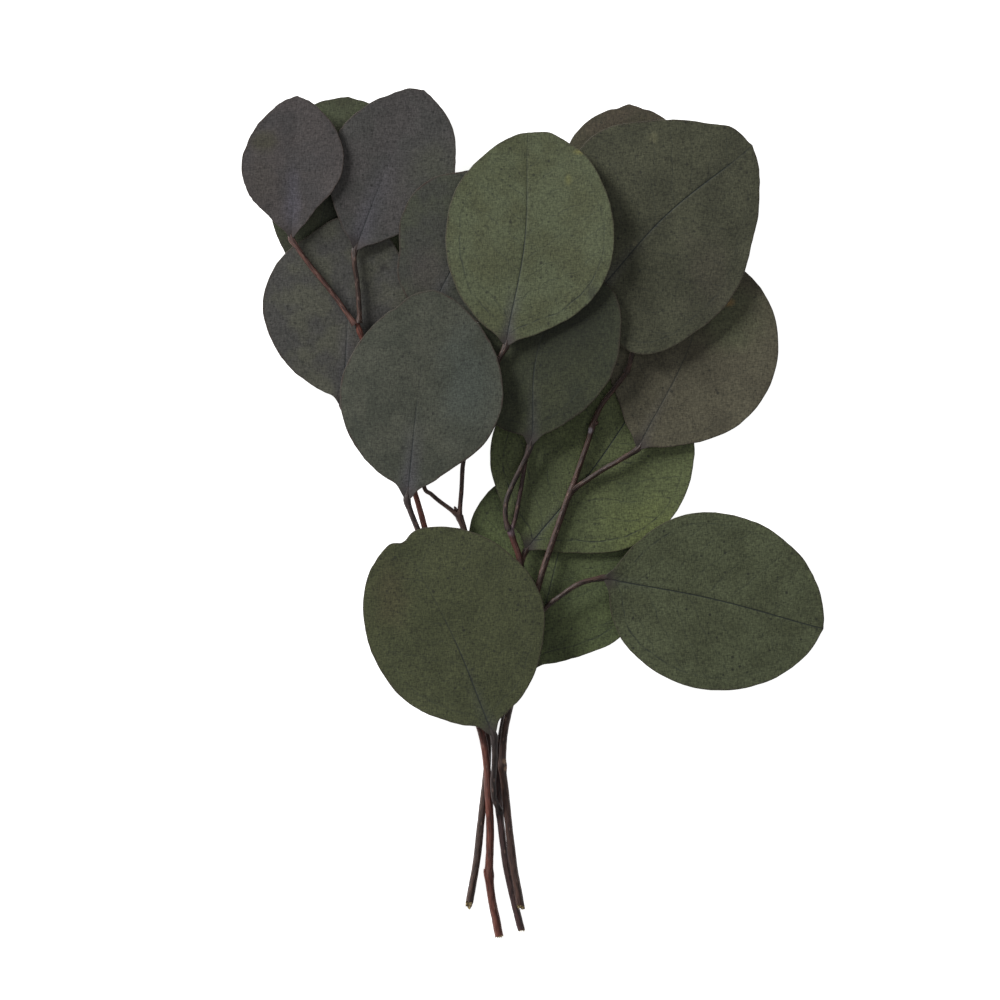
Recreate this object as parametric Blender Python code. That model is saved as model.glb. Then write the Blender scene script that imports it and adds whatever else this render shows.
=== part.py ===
"""A bunch of preserved round-leaved eucalyptus, cut and lying flat.

Four woody stems with their twigs, and fifteen stalked leaves that lie over each other.
Places are in millimetres from the middle of the bunch, +Y towards the leaf tips and +Z up.
"""

import math

import bmesh
import bpy
from mathutils import Vector

MM = 0.001

# Driving dimensions in millimetres
BUNCH_MIDDLE = (-0.3, -0.1)
BLADE_THICKNESS = 0.7
STALK_RADIUS = 0.75
STALK_TIP_RADIUS = 0.4
STALK_ON_BLADE = (4.0, 9.0)
CLEARANCE = 0.35
STEM_STEP = 6.0
STALK_STEP = 4.0
NODE_SWELL = 0.22
NODE_LENGTH = 1.6
PATH_STEP = 0.4

# A leaf's outline: twelve spokes, one every 30 degrees, and the small points at its tip and base.
# The points are in millimetres and the angles over which they fade are in degrees.
SPOKE = 30.0
TIP_POINT = 0.3
BASE_POINT = 2.2
TIP_SPREAD = 4.5
BASE_SPREAD = 7.0

# A blade's mesh: the angles of its rim's points down one side, and its rings as shares of the way out
RIM_ANGLES = [0, 5, 13, 24, 35, 46, 57, 68, 79, 90, 101, 112, 123, 134, 145, 156, 166, 174]
RINGS = (0.35, 0.68, 0.88, 1.0)

TUBE_SIDES = 8
WELD = 1e-6
SHARP_ANGLE = math.radians(40)
BARK_ROUGHNESS = 0.6
LEAF_ROUGHNESS = 0.62


# Materials
def linear(channel):
    return channel / 12.92 if channel <= 0.04045 else ((channel + 0.055) / 1.055) ** 2.4


def material(name, colour, roughness):
    """A Principled material from an sRGB hex colour."""
    made = bpy.data.materials.new(name)
    made.use_nodes = True
    shader = made.node_tree.nodes["Principled BSDF"]
    rgb = [linear(int(colour[i : i + 2], 16) / 255) for i in (0, 2, 4)]
    shader.inputs["Base Color"].default_value = (*rgb, 1.0)
    shader.inputs["Roughness"].default_value = roughness
    shader.inputs["Metallic"].default_value = 0.0
    return made


# Smooth paths
def between(a, b, c, d, t):
    """A smooth step from b to c, a share t of the way, that also leans on their neighbours a and d."""
    slope = (c - a) * t
    bend = (2 * a - 5 * b + 4 * c - d) * t**2
    twist = (3 * b - a - 3 * c + d) * t**3
    return b + (slope + bend + twist) / 2


def smooth_path(points):
    """Points about one step apart on a smooth curve through the given points."""
    knots = [Vector(p) for p in points]
    knots = [2 * knots[0] - knots[1], *knots, 2 * knots[-1] - knots[-2]]
    path = []
    for a, b, c, d in zip(knots, knots[1:], knots[2:], knots[3:]):
        count = max(1, round((c - b).length / PATH_STEP))
        path += [between(a, b, c, d, i / count) for i in range(count)]
    path.append(knots[-2])
    return path


def along(path):
    """Distance from the start to each point of a path."""
    travelled = [0.0]
    for a, b in zip(path, path[1:]):
        travelled.append(travelled[-1] + (b - a).length)
    return travelled


def nearest(path, place):
    """The number of the path's point that lies nearest to a place, seen from above."""
    return min(range(len(path)), key=lambda i: (path[i].xy - Vector(place)).length)


def tube(points, radii):
    """A closed tube through the points: a curve with a round bevel, made a mesh."""
    curve = bpy.data.curves.new("tube", "CURVE")
    curve.dimensions = "3D"
    curve.bevel_depth = MM
    curve.bevel_resolution = TUBE_SIDES // 4
    curve.use_fill_caps = True
    spline = curve.splines.new("POLY")
    spline.points.add(len(points) - 1)
    for knot, place, radius in zip(spline.points, points, radii):
        knot.co = (*(place * MM), 1.0)
        knot.radius = radius
    guide = bpy.data.objects.new("tube", curve)
    bpy.context.scene.collection.objects.link(guide)
    bpy.context.view_layer.update()
    graph = bpy.context.evaluated_depsgraph_get()
    mesh = bpy.data.meshes.new_from_object(guide.evaluated_get(graph))
    bpy.data.objects.remove(guide)
    bpy.data.curves.remove(curve)
    shape = bmesh.new()
    shape.from_mesh(mesh)
    bmesh.ops.remove_doubles(shape, verts=shape.verts, dist=WELD)
    bmesh.ops.recalc_face_normals(shape, faces=shape.faces)
    shape.to_mesh(mesh)
    shape.free()
    piece = bpy.data.objects.new("tube", mesh)
    bpy.context.scene.collection.objects.link(piece)
    return piece


# Woody stems
WOOD = {}


def radius_along(path, start, end, swellings):
    """A taper from start to end, thicker round each node of the twig."""
    travelled = along(path)
    radii = []
    for place, distance in zip(path, travelled):
        radius = start + (end - start) * distance / travelled[-1]
        for node in swellings:
            off = (place.xy - Vector(node)).length / NODE_LENGTH
            radius *= 1 + NODE_SWELL * math.exp(-off * off)
        radii.append(radius)
    return radii


def rod(points, start, end, swellings):
    """One round length of wood. Its points lie closer together at its nodes."""
    path = smooth_path(points)
    radii = radius_along(path, start, end, swellings)
    travelled = along(path)
    kept = [0]
    marks = [travelled[nearest(path, node)] for node in swellings]
    for i, distance in enumerate(travelled):
        close = any(abs(distance - mark) < 2 * NODE_LENGTH for mark in marks)
        step = NODE_LENGTH / 2 if close else STEM_STEP
        if distance - travelled[kept[-1]] >= step:
            kept.append(i)
    if travelled[-1] - travelled[kept[-1]] < STEM_STEP / 3:
        kept.pop()
    kept.append(len(path) - 1)
    piece = tube([path[i] for i in kept], [radii[i] for i in kept])
    return piece, list(zip(path, radii))


def bud(place, radius, length, heading):
    """A small blunt bud that leans out of the bark along its heading."""
    mesh = bpy.data.meshes.new("bud")
    shape = bmesh.new()
    bmesh.ops.create_icosphere(shape, subdivisions=1, radius=radius * MM)
    bmesh.ops.scale(shape, vec=(1, 1, length / radius / 2), verts=shape.verts)
    turn = Vector(heading).to_track_quat("Z", "Y")
    bmesh.ops.rotate(shape, cent=(0, 0, 0), matrix=turn.to_matrix(), verts=shape.verts)
    bmesh.ops.translate(shape, vec=Vector(place) * MM, verts=shape.verts)
    shape.to_mesh(mesh)
    shape.free()
    piece = bpy.data.objects.new("bud", mesh)
    bpy.context.scene.collection.objects.link(piece)
    return piece


def cut_end(piece, place, outward):
    """Cuts the wood with a slanted blade at a place, and closes the cut."""
    shape = bmesh.new()
    shape.from_mesh(piece.data)
    found = bmesh.ops.bisect_plane(
        shape,
        geom=shape.verts[:] + shape.edges[:] + shape.faces[:],
        plane_co=Vector(place) * MM,
        plane_no=Vector(outward),
        clear_outer=True,
    )
    edges = [e for e in found["geom_cut"] if isinstance(e, bmesh.types.BMEdge)]
    bmesh.ops.contextual_create(shape, geom=edges)
    bmesh.ops.recalc_face_normals(shape, faces=shape.faces)
    shape.to_mesh(piece.data)
    shape.free()


def fuse(name, pieces, finish):
    """Joins pieces into one named solid with a Boolean union on a collection."""
    base, others = pieces[0], pieces[1:]
    base.name = name
    base.data.name = name
    if others:
        group = bpy.data.collections.new("joined pieces")
        bpy.context.scene.collection.children.link(group)
        for other in others:
            bpy.context.scene.collection.objects.unlink(other)
            group.objects.link(other)
        union = base.modifiers.new("union", "BOOLEAN")
        union.operation = "UNION"
        union.operand_type = "COLLECTION"
        union.collection = group
        union.solver = "EXACT"
        bpy.context.view_layer.update()
        graph = bpy.context.evaluated_depsgraph_get()
        joined = bpy.data.meshes.new_from_object(base.evaluated_get(graph))
        base.modifiers.clear()
        base.data = joined
        joined.name = name
        for other in others:
            bpy.data.objects.remove(other)
        bpy.data.collections.remove(group)
    base.data.materials.clear()
    base.data.materials.append(finish)
    base.data.shade_smooth()
    base.data.set_sharp_from_angle(angle=SHARP_ANGLE)
    return base


def woody_stem(name, rods, buds, cut, finish):
    """A stem and its twigs, grown as one piece, with a slanted cut at its foot."""
    pieces = []
    WOOD[name] = []
    for points, start, end, swellings in rods:
        piece, line = rod(points, start, end, swellings)
        pieces.append(piece)
        WOOD[name].append(line)
    cut_end(pieces[0], *cut)
    pieces += [bud(*values) for values in buds]
    return fuse(name, pieces, finish)


# Leaves
def leaf_shape(base, tip, left, right, tip_point=TIP_POINT, base_point=BASE_POINT):
    """The outline of a leaf, as its middle, its axes and a function from angle to spoke length."""
    base, tip = Vector(base), Vector(tip)
    half = (tip - base).length / 2
    spokes = [half - tip_point, *left, half - base_point, *reversed(right)]

    def spoke(angle):
        place = (angle % 360) / SPOKE
        i = int(place)
        smooth = between(*(spokes[(i + k) % len(spokes)] for k in (-1, 0, 1, 2)), place - i)
        from_tip = min(angle % 360, 360 - angle % 360) / TIP_SPREAD
        from_base = abs(angle % 360 - 180) / BASE_SPREAD
        return smooth + tip_point * math.exp(-(from_tip**2)) + base_point * math.exp(-(from_base**2))

    forward = (tip - base).normalized()
    return {
        "middle": (base + tip) / 2,
        "forward": forward,
        "leftward": Vector((-forward.y, forward.x)),
        "half": half,
        "side": (left[2] + right[2]) / 2,
        "spoke": spoke,
    }


def leaf_place(shape, lie, angle, share):
    """A point of the blade's middle layer, at an angle from the tip and a share of the way to the rim."""
    reach = shape["spoke"](angle) * share
    v = reach * math.cos(math.radians(angle))
    u = reach * math.sin(math.radians(angle))
    s, q = v / shape["half"], u / shape["side"]
    bowed = u + lie["bow"] * (1 - s * s) * (1 - share**2)
    flat = shape["middle"] + shape["forward"] * v + shape["leftward"] * bowed
    height = (
        lie["height"]
        + lie["rise_tip"] * s / 2
        + lie["rise_left"] * q / 2
        + lie["cup"] * q * q
        - lie["arch"] * s * s
        + lie["fold"] * abs(q)
        + lie["wave"] * share**3 * math.sin(lie["waves"] * math.radians(angle) + lie["phase"])
    )
    return Vector((flat.x, flat.y, max(height, BLADE_THICKNESS / 2)))


def blade(shape, lie):
    """The thin blade: rings of points out to the rim, split alike on its two faces."""
    angles = RIM_ANGLES + [180] + [360 - a for a in reversed(RIM_ANGLES[1:])]
    mesh = bpy.data.meshes.new("blade")
    form = bmesh.new()
    layers = []
    for lift in (BLADE_THICKNESS / 2, -BLADE_THICKNESS / 2):
        rings = []
        for share in (0.0, *RINGS):
            ring = []
            for angle in angles if share else angles[:1]:
                place = leaf_place(shape, lie, angle, share)
                place.z += lift
                ring.append(form.verts.new(place * MM))
            rings.append(ring)
        layers.append(rings)
    count = len(angles)
    for rings, turned in zip(layers, (False, True)):
        triangles = []
        for i in range(count):
            j = (i + 1) % count
            triangles.append((rings[0][0], rings[1][i], rings[1][j]))
            for inner, outer in zip(rings[1:], rings[2:]):
                triangles.append((inner[i], outer[i], outer[j]))
                triangles.append((inner[i], outer[j], inner[j]))
        for corners in triangles:
            form.faces.new(reversed(corners) if turned else corners)
    top, under = layers[0][-1], layers[1][-1]
    for i in range(count):
        j = (i + 1) % count
        form.faces.new((top[j], top[i], under[i], under[j]))
    bmesh.ops.recalc_face_normals(form, faces=form.faces)
    form.to_mesh(mesh)
    form.free()
    piece = bpy.data.objects.new("blade", mesh)
    bpy.context.scene.collection.objects.link(piece)
    return piece


def clear_of_wood(place, heading, wood):
    """Whether the end ring of a stalk keeps its clearance from the wood it grows from."""
    side = heading.orthogonal().normalized()
    other = heading.cross(side).normalized()
    for k in range(TUBE_SIDES):
        turn = math.tau * k / TUBE_SIDES
        rim = place + (side * math.cos(turn) + other * math.sin(turn)) * STALK_RADIUS
        if any((rim - spot).length < thick + CLEARANCE for spot, thick in wood):
            return False
    return True


def stalk(shape, lie, points, wood):
    """The leaf's stalk, from just clear of its twig to some way up the blade's middle."""
    on_blade = [leaf_place(shape, lie, 180, 1 - reach / shape["half"]) for reach in (0.0, *STALK_ON_BLADE)]
    path = smooth_path([*points, *on_blade])
    ahead = round(STALK_STEP / PATH_STEP)
    headings = [(b - a).normalized() for a, b in zip(path, path[ahead:])]
    tests = [clear_of_wood(p, h, wood) for p, h in zip(path, headings)]
    first = max((i + 1 for i, good in enumerate(tests) if not good), default=0)
    path = path[first:]
    travelled = along(path)
    seat = travelled[nearest(path, on_blade[0].xy)]
    kept = [0]
    for i, distance in enumerate(travelled):
        if distance - travelled[kept[-1]] >= STALK_STEP:
            kept.append(i)
    if travelled[-1] - travelled[kept[-1]] < STALK_STEP / 3:
        kept.pop()
    kept.append(len(path) - 1)
    radii = []
    for i in kept:
        past = max(0.0, travelled[i] - seat) / (travelled[-1] - seat)
        radii.append(STALK_RADIUS + (STALK_TIP_RADIUS - STALK_RADIUS) * past)
        path[i].z = max(path[i].z, radii[-1])
    return tube([path[i] for i in kept], radii)


def leaf(name, outline, lie, stem, points, finish):
    """A whole leaf, with its blade and stalk grown as one piece."""
    shape = leaf_shape(**outline)
    whole = {"rise_left": 0.0, "cup": 0.0, "arch": 0.0, "fold": 0.0, "bow": 0.0, "waves": 3, "phase": 0.0}
    whole.update(lie)
    wood = [spot for line in WOOD[stem] for spot in line]
    return fuse(name, [blade(shape, whole), stalk(shape, whole, points, wood)], finish)


# The whole bunch
for old in list(bpy.data.objects):
    bpy.data.objects.remove(old)

# Each rod of wood: points, radius at its start and end, and the nodes where it swells
STEMS = {
    "stem_left": {
        "rods": [
            (
                [(-20.0, -119.0, 1.06), (-18.9, -113, 1.1), (-17.3, -104, 1.2), (-16.0, -92, 1.2),
                 (-14.8, -82, 1.2), (-14.1, -74, 1.2), (-14.4, -65, 1.4), (-16.7, -48, 2.1),
                 (-18.9, -30, 2.8), (-20.6, -12, 3.0), (-21.1, -5.2, 3.0), (-22.6, -0.7, 3.1)],
                1.05, 0.9, [(-22.6, -0.9)],
            ),
            (
                [(-22.6, -0.9, 3.1), (-21.9, 6.8, 3.7), (-21.4, 15, 4.8), (-19.5, 25, 6.4),
                 (-16.2, 35, 7.9), (-12.6, 42.5, 8.6)],
                0.7, 0.64, [],
            ),
            (
                [(-22.6, -0.9, 3.1), (-25.1, 1.2, 3.2), (-28.1, 3.2, 3.3), (-30.6, 5.4, 3.5),
                 (-32.4, 8.6, 3.9), (-33.0, 20, 4.8), (-32.0, 36, 5.2), (-31.2, 50, 5.3)],
                0.68, 0.62, [],
            ),
        ],
        "buds": [((-18.9, -112.5, 1.5), 0.7, 2.4, (-0.6, 0.8, 0.2))],
        "cut": ((-19.4, -117.1, 1.3), (-0.1, -1.0, 0.3)),
        "tone": "3c2b25",
    },
    "stem_middle": {
        "rods": [
            (
                [(-10.3, -128.6, 1.12), (-11.5, -122, 1.2), (-12.7, -116, 1.25), (-13.6, -108.5, 1.4),
                 (-13.4, -101, 1.5), (-13.3, -93, 1.9), (-13.8, -83, 3.6), (-14.3, -75.8, 3.8),
                 (-15.0, -69.8, 3.8), (-16.2, -64.6, 3.9), (-20.8, -50, 4.2), (-26.2, -32, 4.3),
                 (-30.6, -16, 4.2), (-33.2, -4.3, 4.1), (-36.5, 8.2, 4.0), (-40.6, 18.8, 4.1),
                 (-45.6, 33.8, 4.3), (-49.6, 46, 4.6), (-53.2, 57.0, 4.7)],
                1.12, 0.72, [(-13.3, -108.5), (-52.2, 54.6)],
            ),
        ],
        "buds": [((-14.6, -108.5, 1.9), 0.85, 4.0, (-0.2, 1.0, 0.1))],
        "cut": ((-10.4, -126.8, 1.3), (0.25, -1.0, 0.15)),
        "tone": "503228",
    },
    "stem_right": {
        "rods": [
            (
                [(-3.7, -120.5, 3.3), (-5.0, -113, 3.2), (-6.5, -104, 3.1), (-7.9, -92, 3.2),
                 (-8.9, -82, 3.5), (-9.6, -75.8, 3.9), (-9.2, -67, 4.1), (-7.7, -59.2, 4.4),
                 (-4.0, -44.2, 4.9), (-1.1, -30.8, 5.0), (1.1, -21.8, 4.9), (3.4, -14.2, 4.8),
                 (6.5, -5.2, 4.8), (9.4, 3.1, 4.8), (10.9, 6.8, 4.8), (13.0, 12.8, 4.9),
                 (16.1, 21.8, 5.1), (17.4, 26.5, 5.3), (19.9, 32.2, 5.6), (24.4, 38.2, 6.0),
                 (27.4, 42.0, 6.2)],
                1.05, 0.75, [(-9.8, -75.8), (10.9, 6.8), (17.3, 26.0)],
            ),
        ],
        "buds": [((18.3, 26.8, 5.6), 0.65, 2.2, (0.7, 0.7, 0.2))],
        "cut": ((-4.2, -118.3, 3.3), (0.1, -1.0, -0.3)),
        "tone": "4a3831",
    },
    "stem_back": {
        "rods": [
            (
                [(-3.4, -127.0, 1.08), (-4.7, -122, 1.1), (-6.9, -113, 1.1), (-8.7, -104, 1.2),
                 (-10.2, -92, 1.35), (-10.5, -86, 1.3), (-10.2, -80, 1.2), (-9.9, -71, 1.3),
                 (-9.1, -64, 1.7), (-6.8, -50, 2.6), (-4.8, -36, 3.0), (-3.8, -23.2, 3.5),
                 (-4.5, -13.7, 4.1), (-6.3, -8.2, 4.3), (-7.3, -5.0, 4.4)],
                1.08, 0.9, [(-10.4, -89.5), (-7.2, -5.4)],
            ),
            (
                [(-7.3, -5.2, 4.4), (-5.8, -1.6, 4.4), (-4.2, 6.8, 4.4), (-2.7, 15.8, 4.3),
                 (-1.3, 23, 4.4), (2.2, 34, 5.2), (7.5, 47, 6.2), (12.3, 56.8, 6.8)],
                0.65, 0.6, [],
            ),
        ],
        "buds": [],
        "cut": ((-4.0, -125.2, 1.3), (-0.5, -1.0, 0.1)),
        "tone": "33231d",
    },
}

# Each leaf: its outline by spokes from its middle, how it lies, and the stalk's points from its twig
LEAVES = {
    "leaf_left_behind": {
        "outline": {"base": (-68.2, 68.2), "tip": (-55.9, 124.8),
                    "left": (25.5, 21.5, 19.0, 18.2, 21.0), "right": (29.4, 26.0, 25.5, 28.5, 25.5)},
        "lie": {"height": 0.4, "rise_tip": 0.8, "rise_left": -0.4, "wave": 0.15},
        "stem": "stem_middle",
        "stalk": [(-42.6, 25.0, 3.8), (-46.5, 32.5, 2.0), (-52.0, 43.0, 0.9), (-60.0, 56.0, 0.8)],
        "tone": "6a6c58",
    },
    "leaf_left_low": {
        "outline": {"base": (-57.4, 31.6), "tip": (-54.4, 89.8),
                    "left": (25.6, 25.7, 25.6, 24.5, 24.4), "right": (24.5, 19.2, 18.5, 18.5, 21.0),
                    "base_point": 3.5},
        "lie": {"height": 2.7, "rise_tip": 0.2, "rise_left": -0.2, "wave": 0.15, "phase": 1.0},
        "stem": "stem_middle",
        "stalk": [(-38.6, 13.4, 3.9), (-43.5, 18.0, 3.1), (-50.0, 25.5, 2.3)],
        "tone": "474a40",
    },
    "leaf_top_left": {
        "outline": {"base": (-53.9, 78.8), "tip": (-33.2, 126.7),
                    "left": (21.9, 19.5, 19.0, 18.5, 20.0), "right": (23.2, 20.0, 20.0, 20.0, 19.5)},
        "lie": {"height": 4.1, "rise_tip": -1.2, "rise_left": 0.0, "fold": 0.4, "wave": 0.3, "phase": 0.6},
        "stem": "stem_middle",
        "stalk": [(-52.6, 57.0, 4.7), (-52.5, 61.0, 4.6), (-53.2, 69.8, 4.5), (-54.0, 75.0, 4.6)],
        "tone": "474546",
    },
    "leaf_top_left_small": {
        "outline": {"base": (-72.8, 82.3), "tip": (-71.0, 124.9),
                    "left": (18.0, 16.2, 15.9, 15.9, 16.1), "right": (18.0, 16.0, 14.5, 13.5, 14.0)},
        "lie": {"height": 5.2, "rise_tip": -0.4, "rise_left": -1.4, "fold": 0.5, "wave": 0.3, "phase": 2.0},
        "stem": "stem_middle",
        "stalk": [(-53.8, 56.6, 4.9), (-55.9, 59.6, 5.0), (-58.9, 63.8, 4.9), (-62.5, 68.5, 4.8),
                  (-66.6, 73.4, 4.9), (-70.4, 78.6, 5.1)],
        "tone": "4c484a",
    },
    "leaf_middle_behind": {
        "outline": {"base": (-32.5, 58.5), "tip": (-10.0, 101.5),
                    "left": (22.5, 22.4, 20.8, 19.4, 22.4), "right": (20.5, 17.0, 17.5, 21.0, 23.5),
                    "base_point": 0.5},
        "lie": {"height": 6.1, "rise_tip": 0.8, "rise_left": 0.2, "wave": 0.15},
        "stem": "stem_left",
        "stalk": [(-31.2, 50.0, 5.3), (-31.7, 54.5, 5.4)],
        "tone": "43433e",
    },
    "leaf_low_behind": {
        "outline": {"base": (-1.5, -47.0), "tip": (12.8, 10.9),
                    "left": (32.0, 30.7, 26.5, 24.0, 24.5), "right": (29.5, 29.5, 29.8, 27.7, 25.9)},
        "lie": {"height": 1.0, "rise_tip": 0.3, "rise_left": -0.5, "wave": 0.15, "phase": 1.4},
        "stem": "stem_back",
        "stalk": [(-7.4, -53.6, 2.4), (-4.6, -51.0, 1.7)],
        "tone": "3e4631",
    },
    "leaf_right_green": {
        "outline": {"base": (-2.5, -10.9), "tip": (36.4, 41.5),
                    "left": (30.0, 29.5, 31.0, 30.5, 29.4), "right": (32.0, 30.5, 29.2, 28.0, 27.5)},
        "lie": {"height": 2.6, "rise_tip": -0.6, "rise_left": 0.2, "wave": 0.15, "bow": -1.5},
        "stem": "stem_back",
        "stalk": [(-4.4, -16.0, 4.0), (-3.5, -13.4, 3.4)],
        "tone": "4a5039",
    },
    "leaf_right_brown": {
        "outline": {"base": (31.0, 19.3), "tip": (55.4, 77.0),
                    "left": (27.5, 23.5, 21.5, 21.5, 23.0), "right": (31.2, 30.2, 29.0, 28.0, 27.5)},
        "lie": {"height": 3.5, "rise_tip": -2.0, "rise_left": 0.8, "wave": 0.2, "bow": -2.0},
        "stem": "stem_right",
        "stalk": [(11.4, 7.2, 4.8), (15.4, 9.8, 4.8), (19.9, 12.8, 4.7), (25.5, 16.0, 4.6)],
        "tone": "49473a",
    },
    "leaf_top_right_behind": {
        "outline": {"base": (29.8, 50.9), "tip": (28.4, 122.5),
                    "left": (32.2, 24.0, 21.0, 21.5, 25.0), "right": (31.0, 25.0, 22.0, 21.5, 25.0)},
        "lie": {"height": 3.4, "rise_tip": -6.1, "wave": 0.15},
        "stem": "stem_right",
        "stalk": [(27.4, 42.0, 6.2), (28.6, 45.4, 6.3)],
        "tone": "4a473c",
    },
    "leaf_top_right_large": {
        "outline": {"base": (16.9, 64.6), "tip": (65.0, 110.0),
                    "left": (31.9, 31.5, 35.0, 33.5, 32.0), "right": (27.5, 25.1, 28.3, 33.6, 41.0)},
        "lie": {"height": 5.8, "rise_tip": -3.6, "arch": -0.5, "wave": 0.2, "bow": 1.5},
        "stem": "stem_back",
        "stalk": [(12.3, 56.8, 6.8), (14.2, 60.2, 7.2)],
        "tone": "454739",
    },
    "leaf_centre_dark": {
        "outline": {"base": (-1.3, 20.2), "tip": (11.5, 73.3),
                    "left": (25.5, 25.0, 24.0, 22.5, 26.0), "right": (27.0, 21.5, 19.0, 18.0, 19.7),
                    "base_point": 3.2},
        "lie": {"height": 8.4, "rise_tip": 2.6, "rise_left": -2.8, "arch": 0.3, "wave": 0.15},
        "stem": "stem_back",
        "stalk": [(-7.8, -4.8, 4.9), (-8.7, -1.5, 5.0), (-8.6, 2.9, 5.1), (-7.4, 6.8, 5.3), (-4.7, 12.6, 5.9),
                  (-2.5, 17.0, 6.2)],
        "tone": "404436",
    },
    "leaf_top_bright": {
        "outline": {"base": (-8.5, 50.2), "tip": (-1.9, 114.2),
                    "left": (26.6, 23.3, 21.5, 22.2, 25.2), "right": (32.4, 29.7, 29.0, 29.0, 28.5)},
        "lie": {"height": 10.1, "rise_tip": -1.8, "rise_left": -2.6, "arch": 0.8, "fold": 0.3, "wave": 0.3},
        "stem": "stem_left",
        "stalk": [(-12.6, 42.5, 8.6), (-10.5, 46.6, 9.2)],
        "tone": "535945",
    },
    "leaf_middle_front": {
        "outline": {"base": (-38.2, 4.0), "tip": (-30.4, 66.8),
                    "left": (26.5, 24.0, 24.0, 24.2, 25.4), "right": (27.9, 25.5, 24.8, 24.1, 24.1),
                    "base_point": 3.4},
        "lie": {"height": 8.6, "rise_tip": 2.0, "rise_left": -4.8, "wave": 0.2, "phase": 0.8, "bow": -2.0},
        "stem": "stem_middle",
        "stalk": [(-31.0, -15.0, 4.2), (-33.2, -9.6, 5.0), (-35.5, -4.4, 5.5), (-37.4, 0.8, 6.3)],
        "tone": "484b42",
    },
    "leaf_right_low": {
        "outline": {"base": (20.8, -19.3), "tip": (86.5, -34.5),
                    "left": (31.0, 28.2, 27.1, 27.9, 29.0), "right": (30.0, 26.9, 26.0, 27.0, 30.0)},
        "lie": {"height": 3.0, "rise_tip": -5.6, "rise_left": 0.6, "wave": 0.3, "phase": 0.5, "bow": 1.2},
        "stem": "stem_right",
        "stalk": [(-2.0, -35.0, 5.0), (2.9, -28.6, 5.2), (7.9, -24.6, 5.4), (13.9, -20.8, 5.6)],
        "tone": "464a38",
    },
    "leaf_low_front": {
        "outline": {"base": (-12.2, -66.5), "tip": (-39.2, -8.6),
                    "left": (30.1, 25.0, 22.5, 22.6, 24.2), "right": (33.2, 31.5, 30.5, 28.0, 27.7),
                    "tip_point": -2.2, "base_point": 4.0},
        "lie": {"height": 7.7, "rise_tip": -0.4, "rise_left": -1.2, "cup": -0.4, "wave": 0.3, "bow": -2.5},
        "stem": "stem_back",
        "stalk": [(-10.3, -89.5, 1.6), (-11.1, -87.7, 4.0), (-12.1, -85.0, 5.6), (-12.4, -80.0, 6.3),
                  (-12.0, -75.0, 6.8), (-12.0, -70.0, 7.4)],
        "tone": "434734",
    },
}

built = []
for name, plan in STEMS.items():
    finish = material(name + "_bark", plan["tone"], BARK_ROUGHNESS)
    built.append(woody_stem(name, plan["rods"], plan["buds"], plan["cut"], finish))
for name, plan in LEAVES.items():
    finish = material(name + "_skin", plan["tone"], LEAF_ROUGHNESS)
    built.append(leaf(name, plan["outline"], plan["lie"], plan["stem"], plan["stalk"], finish))

# The bunch's middle comes to the origin
for piece in built:
    for point in piece.data.vertices:
        point.co.x -= BUNCH_MIDDLE[0] * MM
        point.co.y -= BUNCH_MIDDLE[1] * MM
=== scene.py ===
# %% [markdown]
# A bunch of preserved round-leaved eucalyptus lies flat on a white surface: four cut woody stems and
# fifteen stalked leaves that overlap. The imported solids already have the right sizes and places. This
# lesson keeps their form and makes each leaf and stem again, thinner, finer and with its real finish.

import math

import bmesh
import bpy
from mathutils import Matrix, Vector, noise


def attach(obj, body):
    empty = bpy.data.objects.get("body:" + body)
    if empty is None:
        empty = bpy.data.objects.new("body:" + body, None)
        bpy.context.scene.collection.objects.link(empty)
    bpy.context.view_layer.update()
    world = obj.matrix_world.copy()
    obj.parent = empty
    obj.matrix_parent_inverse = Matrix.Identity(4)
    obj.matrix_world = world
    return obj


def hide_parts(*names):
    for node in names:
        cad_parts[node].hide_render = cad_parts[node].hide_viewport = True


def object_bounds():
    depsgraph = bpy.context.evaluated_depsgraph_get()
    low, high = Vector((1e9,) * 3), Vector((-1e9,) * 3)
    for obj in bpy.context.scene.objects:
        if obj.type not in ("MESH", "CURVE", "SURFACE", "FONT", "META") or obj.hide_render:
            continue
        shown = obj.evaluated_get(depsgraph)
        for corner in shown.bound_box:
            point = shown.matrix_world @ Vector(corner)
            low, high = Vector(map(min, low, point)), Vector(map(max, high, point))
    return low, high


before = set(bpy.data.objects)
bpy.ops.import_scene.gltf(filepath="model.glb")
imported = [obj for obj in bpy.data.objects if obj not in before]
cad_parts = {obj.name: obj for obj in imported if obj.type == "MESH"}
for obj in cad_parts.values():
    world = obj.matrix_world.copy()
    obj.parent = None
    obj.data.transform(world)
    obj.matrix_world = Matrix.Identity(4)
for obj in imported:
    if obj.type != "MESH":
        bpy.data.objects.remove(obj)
cad_low, cad_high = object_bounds()
MM = 0.001
print("solids:", len(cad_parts), "box in mm:", [round(x / MM, 1) for x in (*cad_low, *cad_high)])

# %% [markdown]
# Colours are written as the eye sees them, in sRGB hex. Blender's shaders want linear light, so one
# function turns one into the other. One more small function adds a node with its settings and links,
# which keeps each material as short as a recipe.


# %% Colours and nodes
def rgb(code):
    """A linear RGBA colour from an sRGB hex code."""
    channels = [int(code[i : i + 2], 16) / 255 for i in (0, 2, 4)]
    return (*(c / 12.92 if c <= 0.04045 else ((c + 0.055) / 1.055) ** 2.4 for c in channels), 1.0)


def add_node(tree, kind, inputs=None, out=0, **settings):
    """Adds a node, sets its settings, fills or links its inputs, and returns one of its outputs."""
    node = tree.nodes.new(kind)
    for name, value in settings.items():
        setattr(node, name, value)
    for name, value in (inputs or {}).items():
        if isinstance(value, bpy.types.NodeSocket):
            tree.links.new(value, node.inputs[name])
        else:
            node.inputs[name].default_value = value
    return node.outputs[out]


print("dark leaf green in linear light:", [round(c, 3) for c in rgb("43473a")])

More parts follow.
